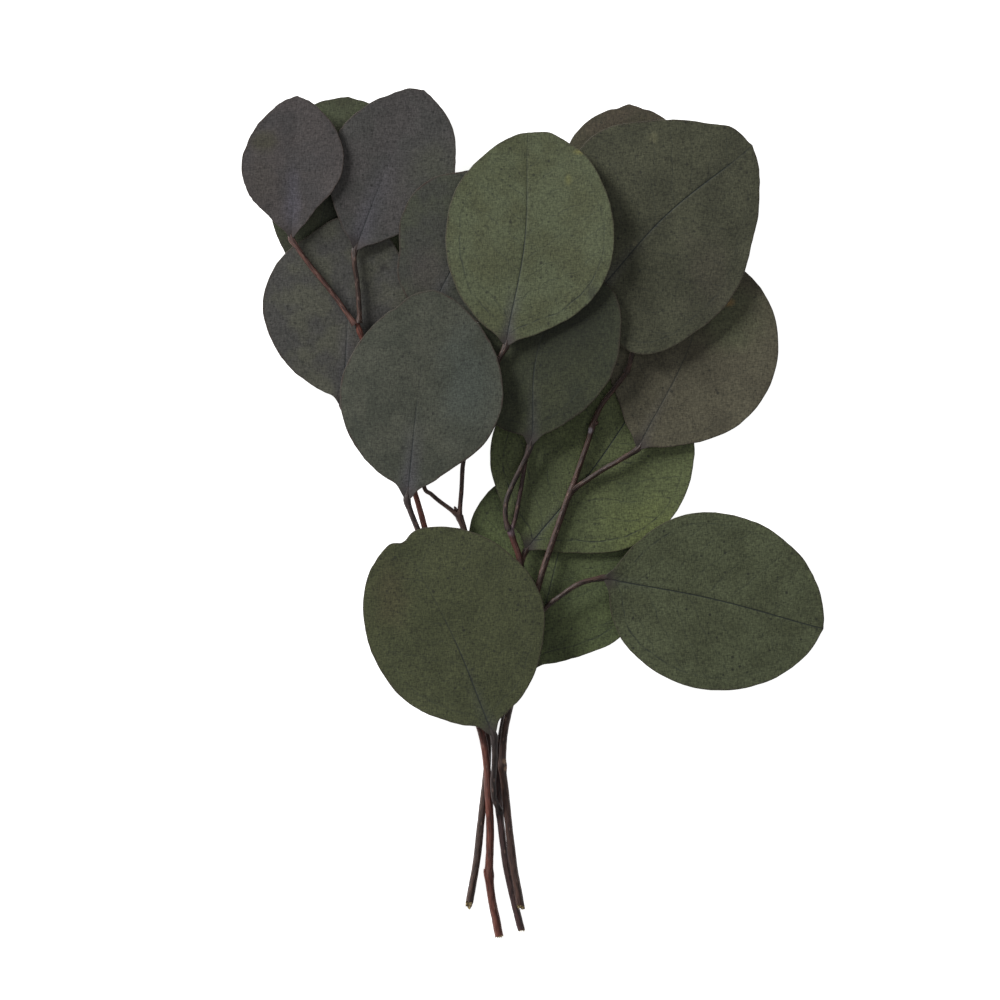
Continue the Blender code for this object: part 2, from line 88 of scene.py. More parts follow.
# %% [markdown]
# The camera looks straight down, as one does on a flat lay. A long lens far away keeps the leaves from
# spreading towards the edges of the picture. Everything the camera sees is 300 mm across, so the lens
# follows from the distance and the width of the sensor.

# %% Camera
PICTURE_WIDTH = 0.300
PICTURE_MIDDLE = (-0.01005, 0.00415)
CAMERA_HEIGHT = 2.75
SENSOR_WIDTH_MM = 36.0

lens_data = bpy.data.cameras.new("camera")
lens_data.type = "PERSP"
lens_data.sensor_width = SENSOR_WIDTH_MM
lens_data.lens = SENSOR_WIDTH_MM * CAMERA_HEIGHT / PICTURE_WIDTH
camera = bpy.data.objects.new("camera", lens_data)
camera.location = (*PICTURE_MIDDLE, CAMERA_HEIGHT)
bpy.context.scene.collection.objects.link(camera)
bpy.context.scene.camera = camera
print("lens in mm:", round(lens_data.lens, 1))

# %% [markdown]
# The surface is a bright white table. A little light of its own, as on a light table, takes most of the
# shadows off it, so that the leaves stand out clean. A large soft key light on the upper left gives the
# leaves their soft shadows to the lower right, and a weaker one on the right opens those shadows.

# %% Table and lights
TABLE_SIZE = 3.0
TABLE_GLOW = 0.86
KEY_POWER = 44.0
FILL_POWER = 4.0
SKY = 0.12

shape = bmesh.new()
bmesh.ops.create_grid(shape, x_segments=1, y_segments=1, size=TABLE_SIZE / 2)
bmesh.ops.translate(shape, vec=(0, 0, cad_low.z - 0.0002), verts=shape.verts)
table_mesh = bpy.data.meshes.new("white_table")
shape.to_mesh(table_mesh)
shape.free()
table = bpy.data.objects.new("white_table", table_mesh)
bpy.context.scene.collection.objects.link(table)

white = bpy.data.materials.new("white lacquered board")
white.use_nodes = True
board = white.node_tree.nodes["Principled BSDF"]
board.inputs["Base Color"].default_value = (0.88, 0.88, 0.88, 1.0)
board.inputs["Roughness"].default_value = 0.75
board.inputs["Emission Color"].default_value = (1.0, 1.0, 1.0, 1.0)
board.inputs["Emission Strength"].default_value = TABLE_GLOW
table.data.materials.append(white)

for name, place, size, power in (
    ("key", (-1.25, 1.05, 0.62), 0.7, KEY_POWER),
    ("fill", (0.3, -0.2, 1.5), 1.2, FILL_POWER),
):
    lamp = bpy.data.lights.new(name, "AREA")
    lamp.size = size
    lamp.energy = power
    holder = bpy.data.objects.new(name, lamp)
    holder.location = place
    holder.rotation_euler = (-Vector(place)).to_track_quat("-Z", "Y").to_euler()
    bpy.context.scene.collection.objects.link(holder)

world = bpy.data.worlds.new("soft room")
world.use_nodes = True
world.node_tree.nodes["Background"].inputs["Color"].default_value = (1.0, 1.0, 1.0, 1.0)
world.node_tree.nodes["Background"].inputs["Strength"].default_value = SKY
bpy.context.scene.world = world
bpy.context.scene.view_settings.view_transform = "Standard"

# %% [markdown]
# Stems and outlines are both smooth curves through a few chosen points. A Catmull-Rom step goes from one
# point to the next and leans on the two around them, so the same small function serves both.

# %% Smooth curves
BUNCH_MIDDLE = Vector((-0.3, -0.1))
PATH_STEP = 0.6


def between(a, b, c, d, t):
    """A smooth step from b to c, a share t of the way, that also leans on their neighbours a and d."""
    slope = (c - a) * t
    bend = (2 * a - 5 * b + 4 * c - d) * t**2
    twist = (3 * b - a - 3 * c + d) * t**3
    return b + (slope + bend + twist) / 2


def smooth_path(points, step=PATH_STEP):
    """Points about one step apart on a smooth curve through the given points, all in millimetres."""
    knots = [Vector(p) for p in points]
    knots = [2 * knots[0] - knots[1], *knots, 2 * knots[-1] - knots[-2]]
    path = []
    for a, b, c, d in zip(knots, knots[1:], knots[2:], knots[3:]):
        count = max(1, round((c - b).length / step))
        path += [between(a, b, c, d, i / count) for i in range(count)]
    path.append(knots[-2])
    return path


def along(path):
    """Distance from the start to each point of a path."""
    travelled = [0.0]
    for a, b in zip(path, path[1:]):
        travelled.append(travelled[-1] + (b - a).length)
    return travelled


def shifted(place):
    """A place in the bunch, in metres, from its place in millimetres before the bunch was centred."""
    return Vector((place[0] - BUNCH_MIDDLE.x, place[1] - BUNCH_MIDDLE.y, place[2])) * MM


# %% [markdown]
# A twig could be a curve with a round bevel. Here it is swept by hand instead: a small circle is extruded
# ring by ring along its path, because then each ring can be thicker at a node, ridged like dry bark, and
# marked with its place on the straightened twig. The bark's pattern reads that mark and runs along the
# twig round every bend, with no seam.

# %% Sweeping a twig
STRAIGHT = "straight"


def sweep(form, path, radii, sides, ridge=0.0, seed=0.0, caps=(False, False), squash=None):
    """Extrudes a ring along a path in the bmesh, with its place on the straightened twig as a mark."""
    mark = form.verts.layers.float_vector.get(STRAIGHT) or form.verts.layers.float_vector.new(STRAIGHT)
    travelled = along(path)
    made = bmesh.ops.create_circle(form, cap_ends=False, radius=1.0, segments=sides)
    ring = made["verts"]
    circle = [v.co.copy() for v in ring]
    edges = list(dict.fromkeys(e for v in ring for e in v.link_edges))
    first_edges = edges
    across = None
    for i, (place, radius, distance) in enumerate(zip(path, radii, travelled)):
        ahead = (path[min(i + 1, len(path) - 1)] - path[max(i - 1, 0)]).normalized()
        if across is None:
            across = ahead.orthogonal().normalized()
        across = (across - ahead * across.dot(ahead)).normalized()
        over = ahead.cross(across)
        if i:
            made = bmesh.ops.extrude_edge_only(form, edges=edges)["geom"]
            fresh = [g for g in made if isinstance(g, bmesh.types.BMVert)]
            order = {v: k for k, v in enumerate(ring)}
            matched = [None] * sides
            for v in fresh:
                for e in v.link_edges:
                    other = e.other_vert(v)
                    if other in order:
                        matched[order[other]] = v
            ring = matched
            edges = [e for e in made if isinstance(e, bmesh.types.BMEdge) and all(v in fresh for v in e.verts)]
        for v, spot in zip(ring, circle):
            flat = Vector((spot.x * radius, spot.y * radius, distance))
            wave = noise.noise(Vector((flat.x * 2.2, flat.y * 2.2, distance * 0.12 + seed)))
            bump = noise.noise(Vector((flat.x * 1.1, flat.y * 1.1, distance * 0.6 + seed)))
            size = radius * (1 + ridge * (wave + 0.6 * bump))
            out = across * spot.x + over * spot.y
            if squash:
                out.z *= squash[i]
            v.co = shifted(place + out * size)
            v[mark] = flat
    if caps[0]:
        bmesh.ops.contextual_create(form, geom=first_edges)
    if caps[1]:
        bmesh.ops.contextual_create(form, geom=edges)
    return ring, edges


# %% [markdown]
# A leaf's outline is drawn by twelve spokes from its middle, one every thirty degrees, with a smooth curve
# through their ends and a small point at the tip and the base. The blade's height over the table is a
# formula too: a tilt, a gentle arch or cup, a fold along the midrib and a wave round the rim. These are
# the solids' own numbers, so the fine leaf lies exactly where its solid lies.

# %% The outline and lie of a leaf
SPOKE = 30.0
TIP_POINT, BASE_POINT = 0.3, 2.2
TIP_SPREAD, BASE_SPREAD = 4.5, 4.6
TIP_SPIKE, SPIKE_SPREAD = 0.2, 1.3
SOLID_THICKNESS = 0.7
BLADE_THICKNESS = 0.36
PLAIN_LIE = {"rise_left": 0.0, "cup": 0.0, "arch": 0.0, "fold": 0.0, "bow": 0.0, "waves": 3, "phase": 0.0}


def leaf_shape(base, tip, left, right, tip_point=TIP_POINT, base_point=BASE_POINT, nicks=()):
    """The outline of a leaf, as its middle, its axes and a function from angle to spoke length."""
    base, tip = Vector(base), Vector(tip)
    half = (tip - base).length / 2
    spokes = [half - tip_point, *left, half - base_point, *reversed(right)]
    seed = base.x * 0.37 + tip.y

    def spoke(angle):
        place = (angle % 360) / SPOKE
        i = int(place)
        smooth = between(*(spokes[(i + k) % len(spokes)] for k in (-1, 0, 1, 2)), place - i)
        from_tip = min(angle % 360, 360 - angle % 360) / TIP_SPREAD
        from_base = abs(angle % 360 - 180) / BASE_SPREAD
        turn = math.radians(angle)
        uneven = noise.noise(Vector((math.cos(turn) * 4, math.sin(turn) * 4, seed)))
        for where, depth, spread in nicks:
            off = (angle - where + 180) % 360 - 180
            smooth += depth * math.exp(-((off / spread) ** 2))
        point = tip_point * math.exp(-(from_tip**2)) + base_point * math.exp(-(from_base**2))
        ragged = noise.noise(Vector((math.cos(turn) * 14, math.sin(turn) * 14, seed)))
        spike = TIP_SPIKE * math.exp(-((from_tip * TIP_SPREAD / SPIKE_SPREAD) ** 2))
        return smooth + point + spike + 0.18 * uneven + 0.16 * ragged

    forward = (tip - base).normalized()
    return {
        "middle": (base + tip) / 2,
        "forward": forward,
        "leftward": Vector((-forward.y, forward.x)),
        "half": half,
        "side": (left[2] + right[2]) / 2,
        "spoke": spoke,
    }


def leaf_place(shape, lie, angle, share):
    """A point of the blade's middle layer, at an angle from the tip and a share of the way to the rim."""
    reach = shape["spoke"](angle) * share
    v = reach * math.cos(math.radians(angle))
    u = reach * math.sin(math.radians(angle))
    s, q = v / shape["half"], u / shape["side"]
    bowed = u + lie["bow"] * (1 - s * s) * (1 - share**2)
    flat = shape["middle"] + shape["forward"] * v + shape["leftward"] * bowed
    height = (
        lie["height"]
        + lie["rise_tip"] * s / 2
        + lie["rise_left"] * q / 2
        + lie["cup"] * q * q
        - lie["arch"] * s * s
        + lie["fold"] * abs(q)
        + lie["wave"] * share**3 * math.sin(lie["waves"] * math.radians(angle) + lie["phase"])
    )
    height = max(height, SOLID_THICKNESS / 2)
    return Vector((flat.x, flat.y, height)), u, v


# %% [markdown]
# The blade is a ball pressed flat. A UV sphere is closed and has one pole on top and one below, so when
# each point moves out to its share of the spoke, the poles lie in the middle of the leaf's two faces and
# the equator becomes its rim. Its rings crowd together at the rim, just where a thin edge needs them to
# look round. The veins and blotches need to know where they are on the leaf, so each point is marked
# with its distance across from the midrib, along from the base, and in from the rim.

# %% Pressing a ball into a blade
BLADE_SEGMENTS = 152
BLADE_RINGS = 58
PLAN = "plan"
RIB_SPAN = (0.4, 0.9)
UPPER = "upper"
CROWD = 0.33
RIM_ROUND = 0.004
GROOVE_WIDTH, GROOVE_DEPTH, GROOVE_END = 0.42, 0.09, 0.4
FUNNEL_LENGTH, FUNNEL_WIDTH, FUNNEL_LIFT = 5.0, 3.0, 0.5


def blade(form, shape, lie, look):
    """Makes the blade in the bmesh, marked with where each point is on the leaf."""
    plan = form.verts.layers.float_vector.new(PLAN)
    upper = form.verts.layers.float.new(UPPER)
    straight = form.verts.layers.float_vector.get(STRAIGHT) or form.verts.layers.float_vector.new(STRAIGHT)
    made = bmesh.ops.create_uvsphere(form, u_segments=BLADE_SEGMENTS, v_segments=BLADE_RINGS, radius=1.0)
    seed = shape["middle"].x
    for v in made["verts"]:
        share = min(1.0, math.hypot(v.co.x, v.co.y))
        turn = math.atan2(v.co.y, v.co.x)
        angle = math.degrees(turn - CROWD * math.sin(2 * turn))
        side = 1.0 if v.co.z > 0 else -1.0
        place, u, w = leaf_place(shape, lie, angle, share)
        near_rim = max(0.0, (share - 1 + RIM_ROUND) / RIM_ROUND)
        half_thick = BLADE_THICKNESS / 2 * math.sqrt(max(0.0, 1 - near_rim**2))
        rib = math.exp(-((u / GROOVE_WIDTH) ** 2)) * min(1.0, 2.2 * (1 - share)) if share > 0.02 else 1.0
        toward_base = 0.5 - 0.5 * w / shape["half"]
        left_over = look.get("rib_span", RIB_SPAN)[1] - 1 + toward_base
        groove = GROOVE_DEPTH * look["veins"][0] * min(1.0, max(0.0, left_over / GROOVE_END))
        relief = -groove * rib if side > 0 else -0.28 * rib * (0.35 + toward_base)
        from_base = (w + shape["half"]) / FUNNEL_LENGTH
        relief += FUNNEL_LIFT * math.exp(-from_base * from_base) * min(1.0, abs(u) / FUNNEL_WIDTH)
        soft = noise.noise(Vector((place.x * 0.05, place.y * 0.05, seed))) * look.get("uneven", 0.3)
        fine = noise.noise(Vector((place.x * 0.22, place.y * 0.22, seed))) * 0.05
        lift = (soft + fine) * (1 - share**6) if lie["height"] > 1 else 0.0
        place.z += side * half_thick + relief + lift - (SOLID_THICKNESS - BLADE_THICKNESS) / 2
        v.co = shifted(place)
        reach = shape["spoke"](angle)
        v[plan] = Vector((u, w + shape["half"], reach * (1 - share)))
        v[upper] = 1.0 if side > 0 and share < 0.999 else 0.0
        v[straight] = Vector((0, 0, 0))
    return made["verts"]


# %% [markdown]
# Preserved leaves are soaked in glycerine and dye, so their skin is dry, matt and faintly mottled, with dark
# oil glands as specks and the plant's own fine fibre as grain. A single colour would look like felt. The
# skin is mixed from a mottle of two tones, fine grain, specks, a purple-grey zone along the midrib, thin
# dark veins and a reddish rim, each at its real size in millimetres.

# %% The skin of a preserved leaf
PER_MM = 1 / MM
MOTTLE_MM, GRAIN_MM, SPECK_MM, BREAK_MM, VEIN_SPACING_MM, NET_MM = 9.0, 0.36, 2.3, 3.0, 7.0, 1.1
LEAF_IOR, LEAF_ROUGHNESS = 1.42, 0.68
VEIN_TONE, RIM_TONE, SPECK_TONE, ZONE_TONE = "1d2425", "392b25", "1a1c19", "4c4a50"
FOOT_TONE, UNDER_TONE = "3b3432", "565c4c"


def leaf_skin(name, look, length):
    """The matt skin of one leaf, from its own tones and vein strengths."""
    made = bpy.data.materials.new(name)
    made.use_nodes = True
    tree = made.node_tree
    skin = tree.nodes["Principled BSDF"]
    space = add_node(tree, "ShaderNodeTexCoord", out=3)
    plan = add_node(tree, "ShaderNodeAttribute", out=1, attribute_name=PLAN)
    split = add_node(tree, "ShaderNodeSeparateXYZ", {0: plan}).node
    u, w, rim = split.outputs
    soft = add_node(tree, "ShaderNodeTexNoise", {"Vector": space, "Scale": PER_MM / MOTTLE_MM, "Detail": 3.0})
    away = add_node(tree, "ShaderNodeMath", {0: u}, operation="ABSOLUTE")

    # Two tones of mottle
    factor = add_node(
        tree, "ShaderNodeMapRange", {0: soft, 1: 0.38, 2: 0.64, 3: 0.0, 4: 1.0}, interpolation_type="SMOOTHSTEP"
    )
    skin_colour = add_node(
        tree, "ShaderNodeMix", {0: factor, 6: rgb(look["tone"]), 7: rgb(look["second"])}, out=2, data_type="RGBA"
    )

    # Broad patches: the leaf's own blotches, and on some leaves painted shade where leaves above shadow it
    for x, y, wide, high, tone, strength in look.get("patches", ()):
        near = add_node(
            tree,
            "ShaderNodeMapping",
            {0: space, 1: shifted((x, y, 0)), 3: (wide * MM, high * MM, 1.0)},
            vector_type="TEXTURE",
        )
        far = add_node(tree, "ShaderNodeVectorMath", {0: near}, out=1, operation="LENGTH")
        torn = add_node(tree, "ShaderNodeMath", {0: soft, 1: 1.2, 2: far}, operation="MULTIPLY_ADD")
        mask = add_node(
            tree, "ShaderNodeMapRange", {0: torn, 1: 0.7, 2: 1.6, 3: strength, 4: 0.0}, interpolation_type="SMOOTHSTEP"
        )
        skin_colour = add_node(
            tree, "ShaderNodeMix", {0: mask, 6: skin_colour, 7: rgb(tone)}, out=2, data_type="RGBA"
        )

    # The purple-grey zone along the midrib, widest at the base
    zone_width, zone_length, zone_strength = look["zone"]
    roam = add_node(tree, "ShaderNodeMath", {0: soft, 1: 3.0, 2: away}, operation="MULTIPLY_ADD")
    near_rib = add_node(
        tree, "ShaderNodeMapRange", {0: roam, 1: 1.0, 2: 2.5 + zone_width, 3: 1.0, 4: 0.0},
        interpolation_type="SMOOTHSTEP",
    )
    near_base = add_node(
        tree, "ShaderNodeMapRange", {0: w, 1: 2.0, 2: zone_length, 3: zone_strength, 4: 0.0},
        interpolation_type="SMOOTHSTEP",
    )
    zone = add_node(tree, "ShaderNodeMath", {0: near_rib, 1: near_base}, operation="MULTIPLY")
    skin_colour = add_node(
        tree, "ShaderNodeMix", {0: zone, 6: skin_colour, 7: rgb(look.get("zone_tone", ZONE_TONE))},
        out=2, data_type="RGBA",
    )

    # Fine fibre grain, drawn along both ways of the skin
    grains = []
    for stretch in ((1.0, 0.28, 1.0), (0.28, 1.0, 1.0)):
        drawn = add_node(tree, "ShaderNodeMapping", {0: space, 3: stretch})
        grains.append(
            add_node(tree, "ShaderNodeTexNoise", {"Vector": drawn, "Scale": PER_MM / GRAIN_MM, "Detail": 3.0, "Roughness": 0.7})
        )
    grain = add_node(tree, "ShaderNodeMath", {0: grains[0], 1: grains[1]}, operation="ADD")
    coarse = 0.62 * look.get("grain", 1.0)
    shade = add_node(tree, "ShaderNodeMapRange", {0: grain, 1: 0.7, 2: 1.3, 3: 1 - coarse, 4: 1 + coarse})
    skin_colour = add_node(
        tree, "ShaderNodeMix", {0: 1.0, 6: skin_colour, 7: shade}, out=2, data_type="RGBA", blend_type="MULTIPLY"
    )

    # Oil glands as dark specks of many sizes
    cells = add_node(tree, "ShaderNodeTexVoronoi", {"Vector": space, "Scale": PER_MM / SPECK_MM}).node
    size = add_node(tree, "ShaderNodeSeparateColor", {0: cells.outputs["Color"]})
    reach = add_node(tree, "ShaderNodeMath", {0: size, 1: size}, operation="MULTIPLY")
    inside = add_node(
        tree, "ShaderNodeMath", {0: reach, 1: 0.2, 2: 0.02}, operation="MULTIPLY_ADD"
    )
    inside = add_node(tree, "ShaderNodeMath", {0: inside, 1: cells.outputs["Distance"]}, operation="SUBTRACT")
    speck = add_node(
        tree, "ShaderNodeMapRange", {0: inside, 1: -0.04, 2: 0.05, 3: 0.0, 4: look.get("specks", 0.6)}
    )
    skin_colour = add_node(
        tree, "ShaderNodeMix", {0: speck, 6: skin_colour, 7: rgb(SPECK_TONE)}, out=2, data_type="RGBA"
    )

    # Midrib, laterals and the vein that runs inside the rim
    rib_strength, vein_strength, border_strength = look["veins"]
    ends = look.get("rib_span", RIB_SPAN)
    rib_line = add_node(
        tree, "ShaderNodeMapRange", {0: away, 1: 0.08, 2: 0.3, 3: 1.0, 4: 0.0}, interpolation_type="SMOOTHSTEP"
    )
    rib_fade = add_node(
        tree, "ShaderNodeMapRange", {0: w, 1: ends[0] * length, 2: ends[1] * length, 3: rib_strength, 4: 0.15 * rib_strength}
    )
    broken = add_node(tree, "ShaderNodeTexNoise", {"Vector": space, "Scale": PER_MM / BREAK_MM, "Detail": 2.0})
    broken = add_node(tree, "ShaderNodeMapRange", {0: broken, 1: 0.38, 2: 0.58, 3: 0.25, 4: 1.0})
    rib = add_node(tree, "ShaderNodeMath", {0: rib_line, 1: rib_fade}, operation="MULTIPLY")
    firm = add_node(tree, "ShaderNodeMapRange", {0: w, 1: ends[0] * length, 2: ends[1] * length, 3: 1.0, 4: 0.0})
    whole = add_node(tree, "ShaderNodeMath", {0: firm, 1: broken}, operation="MAXIMUM")
    rib = add_node(tree, "ShaderNodeMath", {0: rib, 1: whole}, operation="MULTIPLY")
    flank = add_node(tree, "ShaderNodeMath", {0: u}, operation="SIGN")
    run = add_node(tree, "ShaderNodeMath", {0: away, 1: -0.75, 2: w}, operation="MULTIPLY_ADD")
    run = add_node(tree, "ShaderNodeMath", {0: flank, 1: 1.8, 2: run}, operation="MULTIPLY_ADD")
    run = add_node(tree, "ShaderNodeMath", {0: soft, 1: 7.0, 2: run}, operation="MULTIPLY_ADD")
    run = add_node(tree, "ShaderNodeMath", {0: run, 1: VEIN_SPACING_MM / 2}, operation="PINGPONG")
    lateral = add_node(
        tree, "ShaderNodeMapRange", {0: run, 1: 0.08, 2: 0.32, 3: vein_strength, 4: 0.0},
        interpolation_type="SMOOTHSTEP",
    )
    inner = add_node(tree, "ShaderNodeMapRange", {0: rim, 1: 2.5, 2: 4.5, 3: 0.0, 4: 1.0})
    lateral = add_node(tree, "ShaderNodeMath", {0: lateral, 1: inner}, operation="MULTIPLY")
    lateral = add_node(tree, "ShaderNodeMath", {0: lateral, 1: broken}, operation="MULTIPLY")
    border = add_node(tree, "ShaderNodeMath", {0: soft, 1: -2.2, 2: rim}, operation="MULTIPLY_ADD")
    border = add_node(tree, "ShaderNodeMath", {0: border, 1: 2.6}, operation="SUBTRACT")
    border = add_node(tree, "ShaderNodeMath", {0: border}, operation="ABSOLUTE")
    border = add_node(
        tree, "ShaderNodeMapRange", {0: border, 1: 0.08, 2: 0.34, 3: border_strength, 4: 0.0},
        interpolation_type="SMOOTHSTEP",
    )
    lower = add_node(tree, "ShaderNodeMapRange", {0: w, 1: 0.3 * length, 2: 0.75 * length, 3: 1.0, 4: 0.25})
    border = add_node(tree, "ShaderNodeMath", {0: border, 1: lower}, operation="MULTIPLY")
    border = add_node(tree, "ShaderNodeMath", {0: border, 1: broken}, operation="MULTIPLY")
    lines = add_node(tree, "ShaderNodeMath", {0: rib, 1: lateral}, operation="MAXIMUM")
    lines = add_node(tree, "ShaderNodeMath", {0: lines, 1: border}, operation="MAXIMUM")
    skin_colour = add_node(
        tree, "ShaderNodeMix", {0: lines, 6: skin_colour, 7: rgb(VEIN_TONE)}, out=2, data_type="RGBA"
    )

    # The dry reddish rim
    worn = add_node(tree, "ShaderNodeMath", {0: soft, 1: -0.7, 2: rim}, operation="MULTIPLY_ADD")
    edge = add_node(tree, "ShaderNodeMapRange", {0: worn, 1: -0.2, 2: 0.35, 3: look.get("rim", 0.5), 4: 0.0})
    edge = add_node(tree, "ShaderNodeMath", {0: edge, 1: broken}, operation="MULTIPLY")
    brink = add_node(tree, "ShaderNodeMapRange", {0: rim, 1: 0.1, 2: 0.35, 3: 0.7, 4: 0.0})
    edge = add_node(tree, "ShaderNodeMath", {0: edge, 1: brink}, operation="MAXIMUM")
    skin_colour = add_node(
        tree, "ShaderNodeMix", {0: edge, 6: skin_colour, 7: rgb(RIM_TONE)}, out=2, data_type="RGBA"
    )

    # The foot of the blade, dark like its stalk
    foot = add_node(
        tree, "ShaderNodeMapRange", {0: w, 1: 1.0, 2: 6.0, 3: 0.8, 4: 0.0}, interpolation_type="SMOOTHSTEP"
    )
    close = add_node(tree, "ShaderNodeMapRange", {0: away, 1: 1.5, 2: 5.0, 3: 1.0, 4: 0.0})
    foot = add_node(tree, "ShaderNodeMath", {0: foot, 1: close}, operation="MULTIPLY")
    skin_colour = add_node(
        tree, "ShaderNodeMix", {0: foot, 6: skin_colour, 7: rgb(look.get("foot_tone", FOOT_TONE))},
        out=2, data_type="RGBA",
    )

    # The paler underside
    upper = add_node(tree, "ShaderNodeAttribute", out=2, attribute_name=UPPER)
    skin_colour = add_node(
        tree, "ShaderNodeMix", {0: upper, 6: rgb(UNDER_TONE), 7: skin_colour}, out=2, data_type="RGBA"
    )

    # Relief that is too fine for the mesh
    net = add_node(
        tree, "ShaderNodeTexVoronoi", {"Vector": space, "Scale": PER_MM / NET_MM}, feature="DISTANCE_TO_EDGE"
    )
    net = add_node(tree, "ShaderNodeMapRange", {0: net, 1: 0.0, 2: 0.25, 3: -0.25, 4: 0.0})
    height = add_node(tree, "ShaderNodeMath", {0: grain, 1: 0.5, 2: net}, operation="MULTIPLY_ADD")
    height = add_node(tree, "ShaderNodeMath", {0: lines, 1: -0.8, 2: height}, operation="MULTIPLY_ADD")
    relief = add_node(tree, "ShaderNodeBump", {"Height": height, "Distance": 0.12 * MM, "Strength": 0.6})
    dry = add_node(tree, "ShaderNodeMapRange", {0: soft, 1: 0.3, 2: 0.7, 3: LEAF_ROUGHNESS - 0.06, 4: LEAF_ROUGHNESS + 0.06})
    tree.links.new(skin_colour, skin.inputs["Base Color"])
    tree.links.new(relief, skin.inputs["Normal"])
    tree.links.new(dry, skin.inputs["Roughness"])
    skin.inputs["IOR"].default_value = LEAF_IOR
    return made


# %% [markdown]
# Twig bark is dry and finely ridged along the twig, reddish where it is young and grey-brown where the
# outer skin has split. The pattern is noise stretched some millimetres along the straightened twig and
# half a millimetre round it. A leaf's stalk has the same bark, which turns to the leaf's own grey.

# %% Bark, stalk and cut wood
RIDGE_ROUND_MM, RIDGE_ALONG_MM, LENTICEL_MM = 0.45, 3.5, 1.3
BARK_IOR, BARK_ROUGHNESS = 1.45, 0.55
SCURF_TONE = "8c7165"


def bark(name, tone, light, dark, end=None, patches=()):
    """Dry ridged bark. End gives a distance along a stalk and the tone that it turns to from there."""
    made = bpy.data.materials.new(name)
    made.use_nodes = True
    tree = made.node_tree
    skin = tree.nodes["Principled BSDF"]
    space = add_node(tree, "ShaderNodeTexCoord", out=3)
    straight = add_node(tree, "ShaderNodeAttribute", out=1, attribute_name=STRAIGHT)
    drawn = add_node(
        tree,
        "ShaderNodeMapping",
        {0: straight, 3: (1 / RIDGE_ROUND_MM, 1 / RIDGE_ROUND_MM, 1 / RIDGE_ALONG_MM)},
    )
    ridges = add_node(tree, "ShaderNodeTexNoise", {"Vector": drawn, "Scale": 1.0, "Detail": 4.0})
    slow = add_node(tree, "ShaderNodeTexNoise", {"Vector": straight, "Scale": 0.16, "Detail": 2.0})
    lit = add_node(tree, "ShaderNodeMapRange", {0: ridges, 1: 0.42, 2: 0.68, 3: 0.0, 4: 0.75})
    colour = add_node(tree, "ShaderNodeMix", {0: lit, 6: rgb(tone), 7: rgb(light)}, out=2, data_type="RGBA")
    low = add_node(tree, "ShaderNodeMapRange", {0: ridges, 1: 0.3, 2: 0.5, 3: 0.8, 4: 0.0})
    colour = add_node(tree, "ShaderNodeMix", {0: low, 6: colour, 7: rgb(dark)}, out=2, data_type="RGBA")
    grey = add_node(tree, "ShaderNodeMapRange", {0: slow, 1: 0.48, 2: 0.7, 3: 0.0, 4: 0.6})
    colour = add_node(tree, "ShaderNodeMix", {0: grey, 6: colour, 7: rgb(dark)}, out=2, data_type="RGBA")
    pores = add_node(tree, "ShaderNodeMapping", {0: straight, 3: (1.0, 1.0, 0.4)})
    pores = add_node(tree, "ShaderNodeTexVoronoi", {"Vector": pores, "Scale": 1 / LENTICEL_MM})
    pore = add_node(tree, "ShaderNodeMapRange", {0: pores, 1: 0.1, 2: 0.24, 3: 0.45, 4: 0.0})
    colour = add_node(tree, "ShaderNodeMix", {0: pore, 6: colour, 7: rgb(SCURF_TONE)}, out=2, data_type="RGBA")
    if end:
        distance = add_node(tree, "ShaderNodeSeparateXYZ", {0: straight}).node.outputs[2]
        turned = add_node(
            tree, "ShaderNodeMapRange", {0: distance, 1: end[0], 2: end[1], 3: 0.0, 4: 1.0},
            interpolation_type="SMOOTHSTEP",
        )
        colour = add_node(tree, "ShaderNodeMix", {0: turned, 6: colour, 7: rgb(end[2])}, out=2, data_type="RGBA")
    for x, y, reach, spot_tone, strength in patches:
        near = add_node(
            tree, "ShaderNodeMapping", {0: space, 1: shifted((x, y, 0)), 3: (reach * MM, reach * MM, 1.0)},
            vector_type="TEXTURE",
        )
        far = add_node(tree, "ShaderNodeVectorMath", {0: near}, out=1, operation="LENGTH")
        mask = add_node(tree, "ShaderNodeMapRange", {0: far, 1: 0.6, 2: 1.3, 3: strength, 4: 0.0})
        colour = add_node(tree, "ShaderNodeMix", {0: mask, 6: colour, 7: rgb(spot_tone)}, out=2, data_type="RGBA")
    relief = add_node(tree, "ShaderNodeBump", {"Height": ridges, "Distance": 0.4 * MM, "Strength": 0.9})
    tree.links.new(colour, skin.inputs["Base Color"])
    tree.links.new(relief, skin.inputs["Normal"])
    skin.inputs["Roughness"].default_value = BARK_ROUGHNESS
    skin.inputs["IOR"].default_value = BARK_IOR
    return made


def cut_wood():
    """The pale fibres of a cut twig."""
    made = bpy.data.materials.new("pale cut wood")
    made.use_nodes = True
    tree = made.node_tree
    skin = tree.nodes["Principled BSDF"]
    space = add_node(tree, "ShaderNodeTexCoord", out=3)
    drawn = add_node(tree, "ShaderNodeMapping", {0: space, 3: (PER_MM / 0.25, PER_MM / 1.5, PER_MM / 0.25)})
    fibre = add_node(tree, "ShaderNodeTexNoise", {"Vector": drawn, "Scale": 1.0, "Detail": 3.0})
    lit = add_node(tree, "ShaderNodeMapRange", {0: fibre, 1: 0.35, 2: 0.62, 3: 0.0, 4: 1.0})
    colour = add_node(
        tree, "ShaderNodeMix", {0: lit, 6: rgb("4a3420"), 7: rgb("cdb98a")}, out=2, data_type="RGBA"
    )
    tree.links.new(colour, skin.inputs["Base Color"])
    skin.inputs["Roughness"].default_value = 0.8
    return made


CUT_WOOD = cut_wood()

# %% [markdown]
# A stem is swept rod by rod: the main one first, then the twigs that fork from it. A twig begins inside its
# parent and is a third thicker there, like the collar that a real branch grows. The foot is cut off with a
# slanted plane, and the cut is drawn in so that the bark stands round it, with a few torn splinters.

